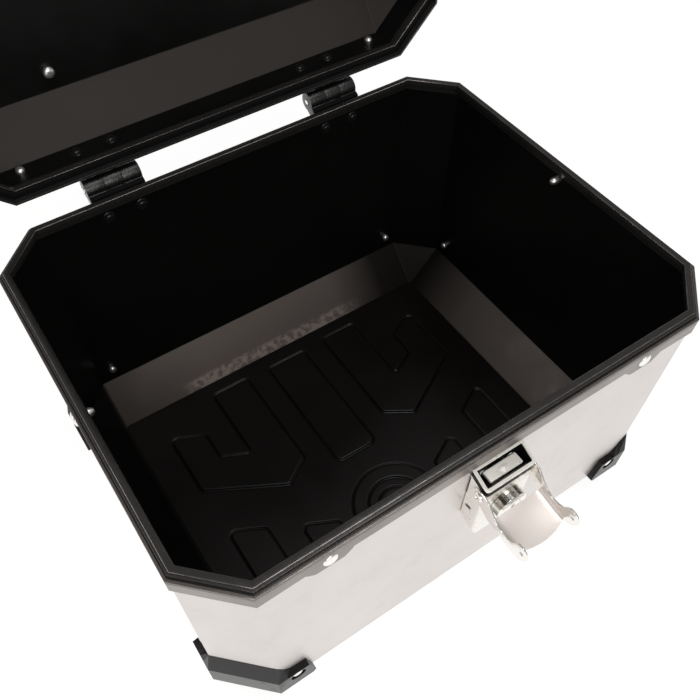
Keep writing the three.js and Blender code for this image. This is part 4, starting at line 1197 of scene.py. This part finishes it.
def build_bolt():
    """The bolt's flange in the housing's mouth, with a small pressed mark, and its stem."""
    bm = bmesh.new()
    flange = rounded([(-14.6, -184.8), (13, -184.8), (13, -176.4), (-14.6, -176.4)], 0.7)
    stem = rounded([(-6, -70), (6, -70), (6, -28), (-6, -28)], 0.8)
    plate(bm, flange, -29, -26.5, edge=0.4)
    for high, half in ((-26.1, 3.2), (-25.7, 1.7)):
        shoulder = -180.5 - half / 2
        shield = [(-half, -180), (half, -180), (half, shoulder), (0, -181 - half), (-half, shoulder)]
        plate(bm, rounded([(x - 1, y) for x, y in shield], 0.3), -26.6, high, edge=0.15)
    plate(bm, stem, -177.2, -175.8, ALONG_Y, edge=0.3)
    piece("bolt", bm, [BOLT], "lock_bolt", ["lock_bolt"], angle=40)
    softened("cam", "lock_cam", [LATCH], "lock_plug", 0.2)
    softened("guide", "bolt_guide", [LATCH], "case", 0.2)


# ---- Studio ----
def build_studio():
    mesh = bpy.data.meshes.new("floor")
    mesh.from_pydata([(-6, -6, 0), (6, -6, 0), (6, 6, 0), (-6, 6, 0)], [], [(0, 1, 2, 3)])
    floor = shown("floor", mesh)
    floor.location.z = -0.0008
    paper = Finish("studio_paper")
    paper.tint(paper.noise(3, 2), (0.23, 0.23, 0.23), (0.26, 0.26, 0.26))
    set_sockets(paper.shader, Emission_Color=(1, 1, 1, 1), Emission_Strength=0.86, Roughness=0.9)
    mesh.materials.append(paper.material)

    world = bpy.data.worlds.new("studio")
    bpy.context.scene.world = world
    world.use_nodes = True
    set_sockets(world.node_tree.nodes["Background"], Color=(1.0, 0.99, 0.98, 1), Strength=0.30)

    aim = Vector((0, 0, 0.2))
    for name, at, width, power, tint in (
        ("front_softbox", (-0.6, -2.2, 1.5), 1.6, 24, (1, 0.98, 0.96)),
        ("left_softbox", (-2.2, 0.6, 1.3), 1.3, 12, (1, 1, 1)),
        ("top_softbox", (0.25, -0.45, 2.5), 1.2, 11, (1, 1, 1)),
    ):
        data = bpy.data.lights.new(name, "AREA")
        data.shape = "RECTANGLE"
        data.size = width
        data.size_y = width * 0.7
        data.energy = power
        data.color = tint
        light = shown(name, data)
        light.location = at
        light.rotation_euler = (aim - Vector(at)).to_track_quat("-Z", "Y").to_euler()
    bpy.context.scene.view_settings.view_transform = "Standard"


def build_camera():
    """Stands in front and to the left, looking steeply down into the open case."""
    at = Vector((-0.2167, -0.31666, RIM_TOP + 0.40152))
    yaw, pitch, roll = (math.radians(angle) for angle in (34.05, 55.39, 0.25))
    look = Vector((math.sin(yaw) * math.cos(pitch), math.cos(yaw) * math.cos(pitch), -math.sin(pitch)))
    right = Vector((math.cos(yaw), -math.sin(yaw), 0))
    data = bpy.data.cameras.new("camera")
    data.sensor_width = 36
    data.lens = 38.37
    data.shift_x = 0.0066
    data.shift_y = 0.054
    camera = shown("camera", data)
    turn = Matrix((right, right.cross(look), -look)).transposed().to_4x4()
    camera.matrix_world = Matrix.Translation(at) @ turn @ Matrix.Rotation(roll, 4, "Z")
    bpy.context.scene.camera = camera


build_camera()
build_studio()
build_sheets()
build_frames()
build_band()
build_mat()
build_guards()
build_band_rivets()
build_hinges()
build_tie_downs()
build_strike()
build_housing()
build_lock()
build_lever()
build_bolt()
softened("plate", "mounting_plate", [PLATE], "case", 0.6)
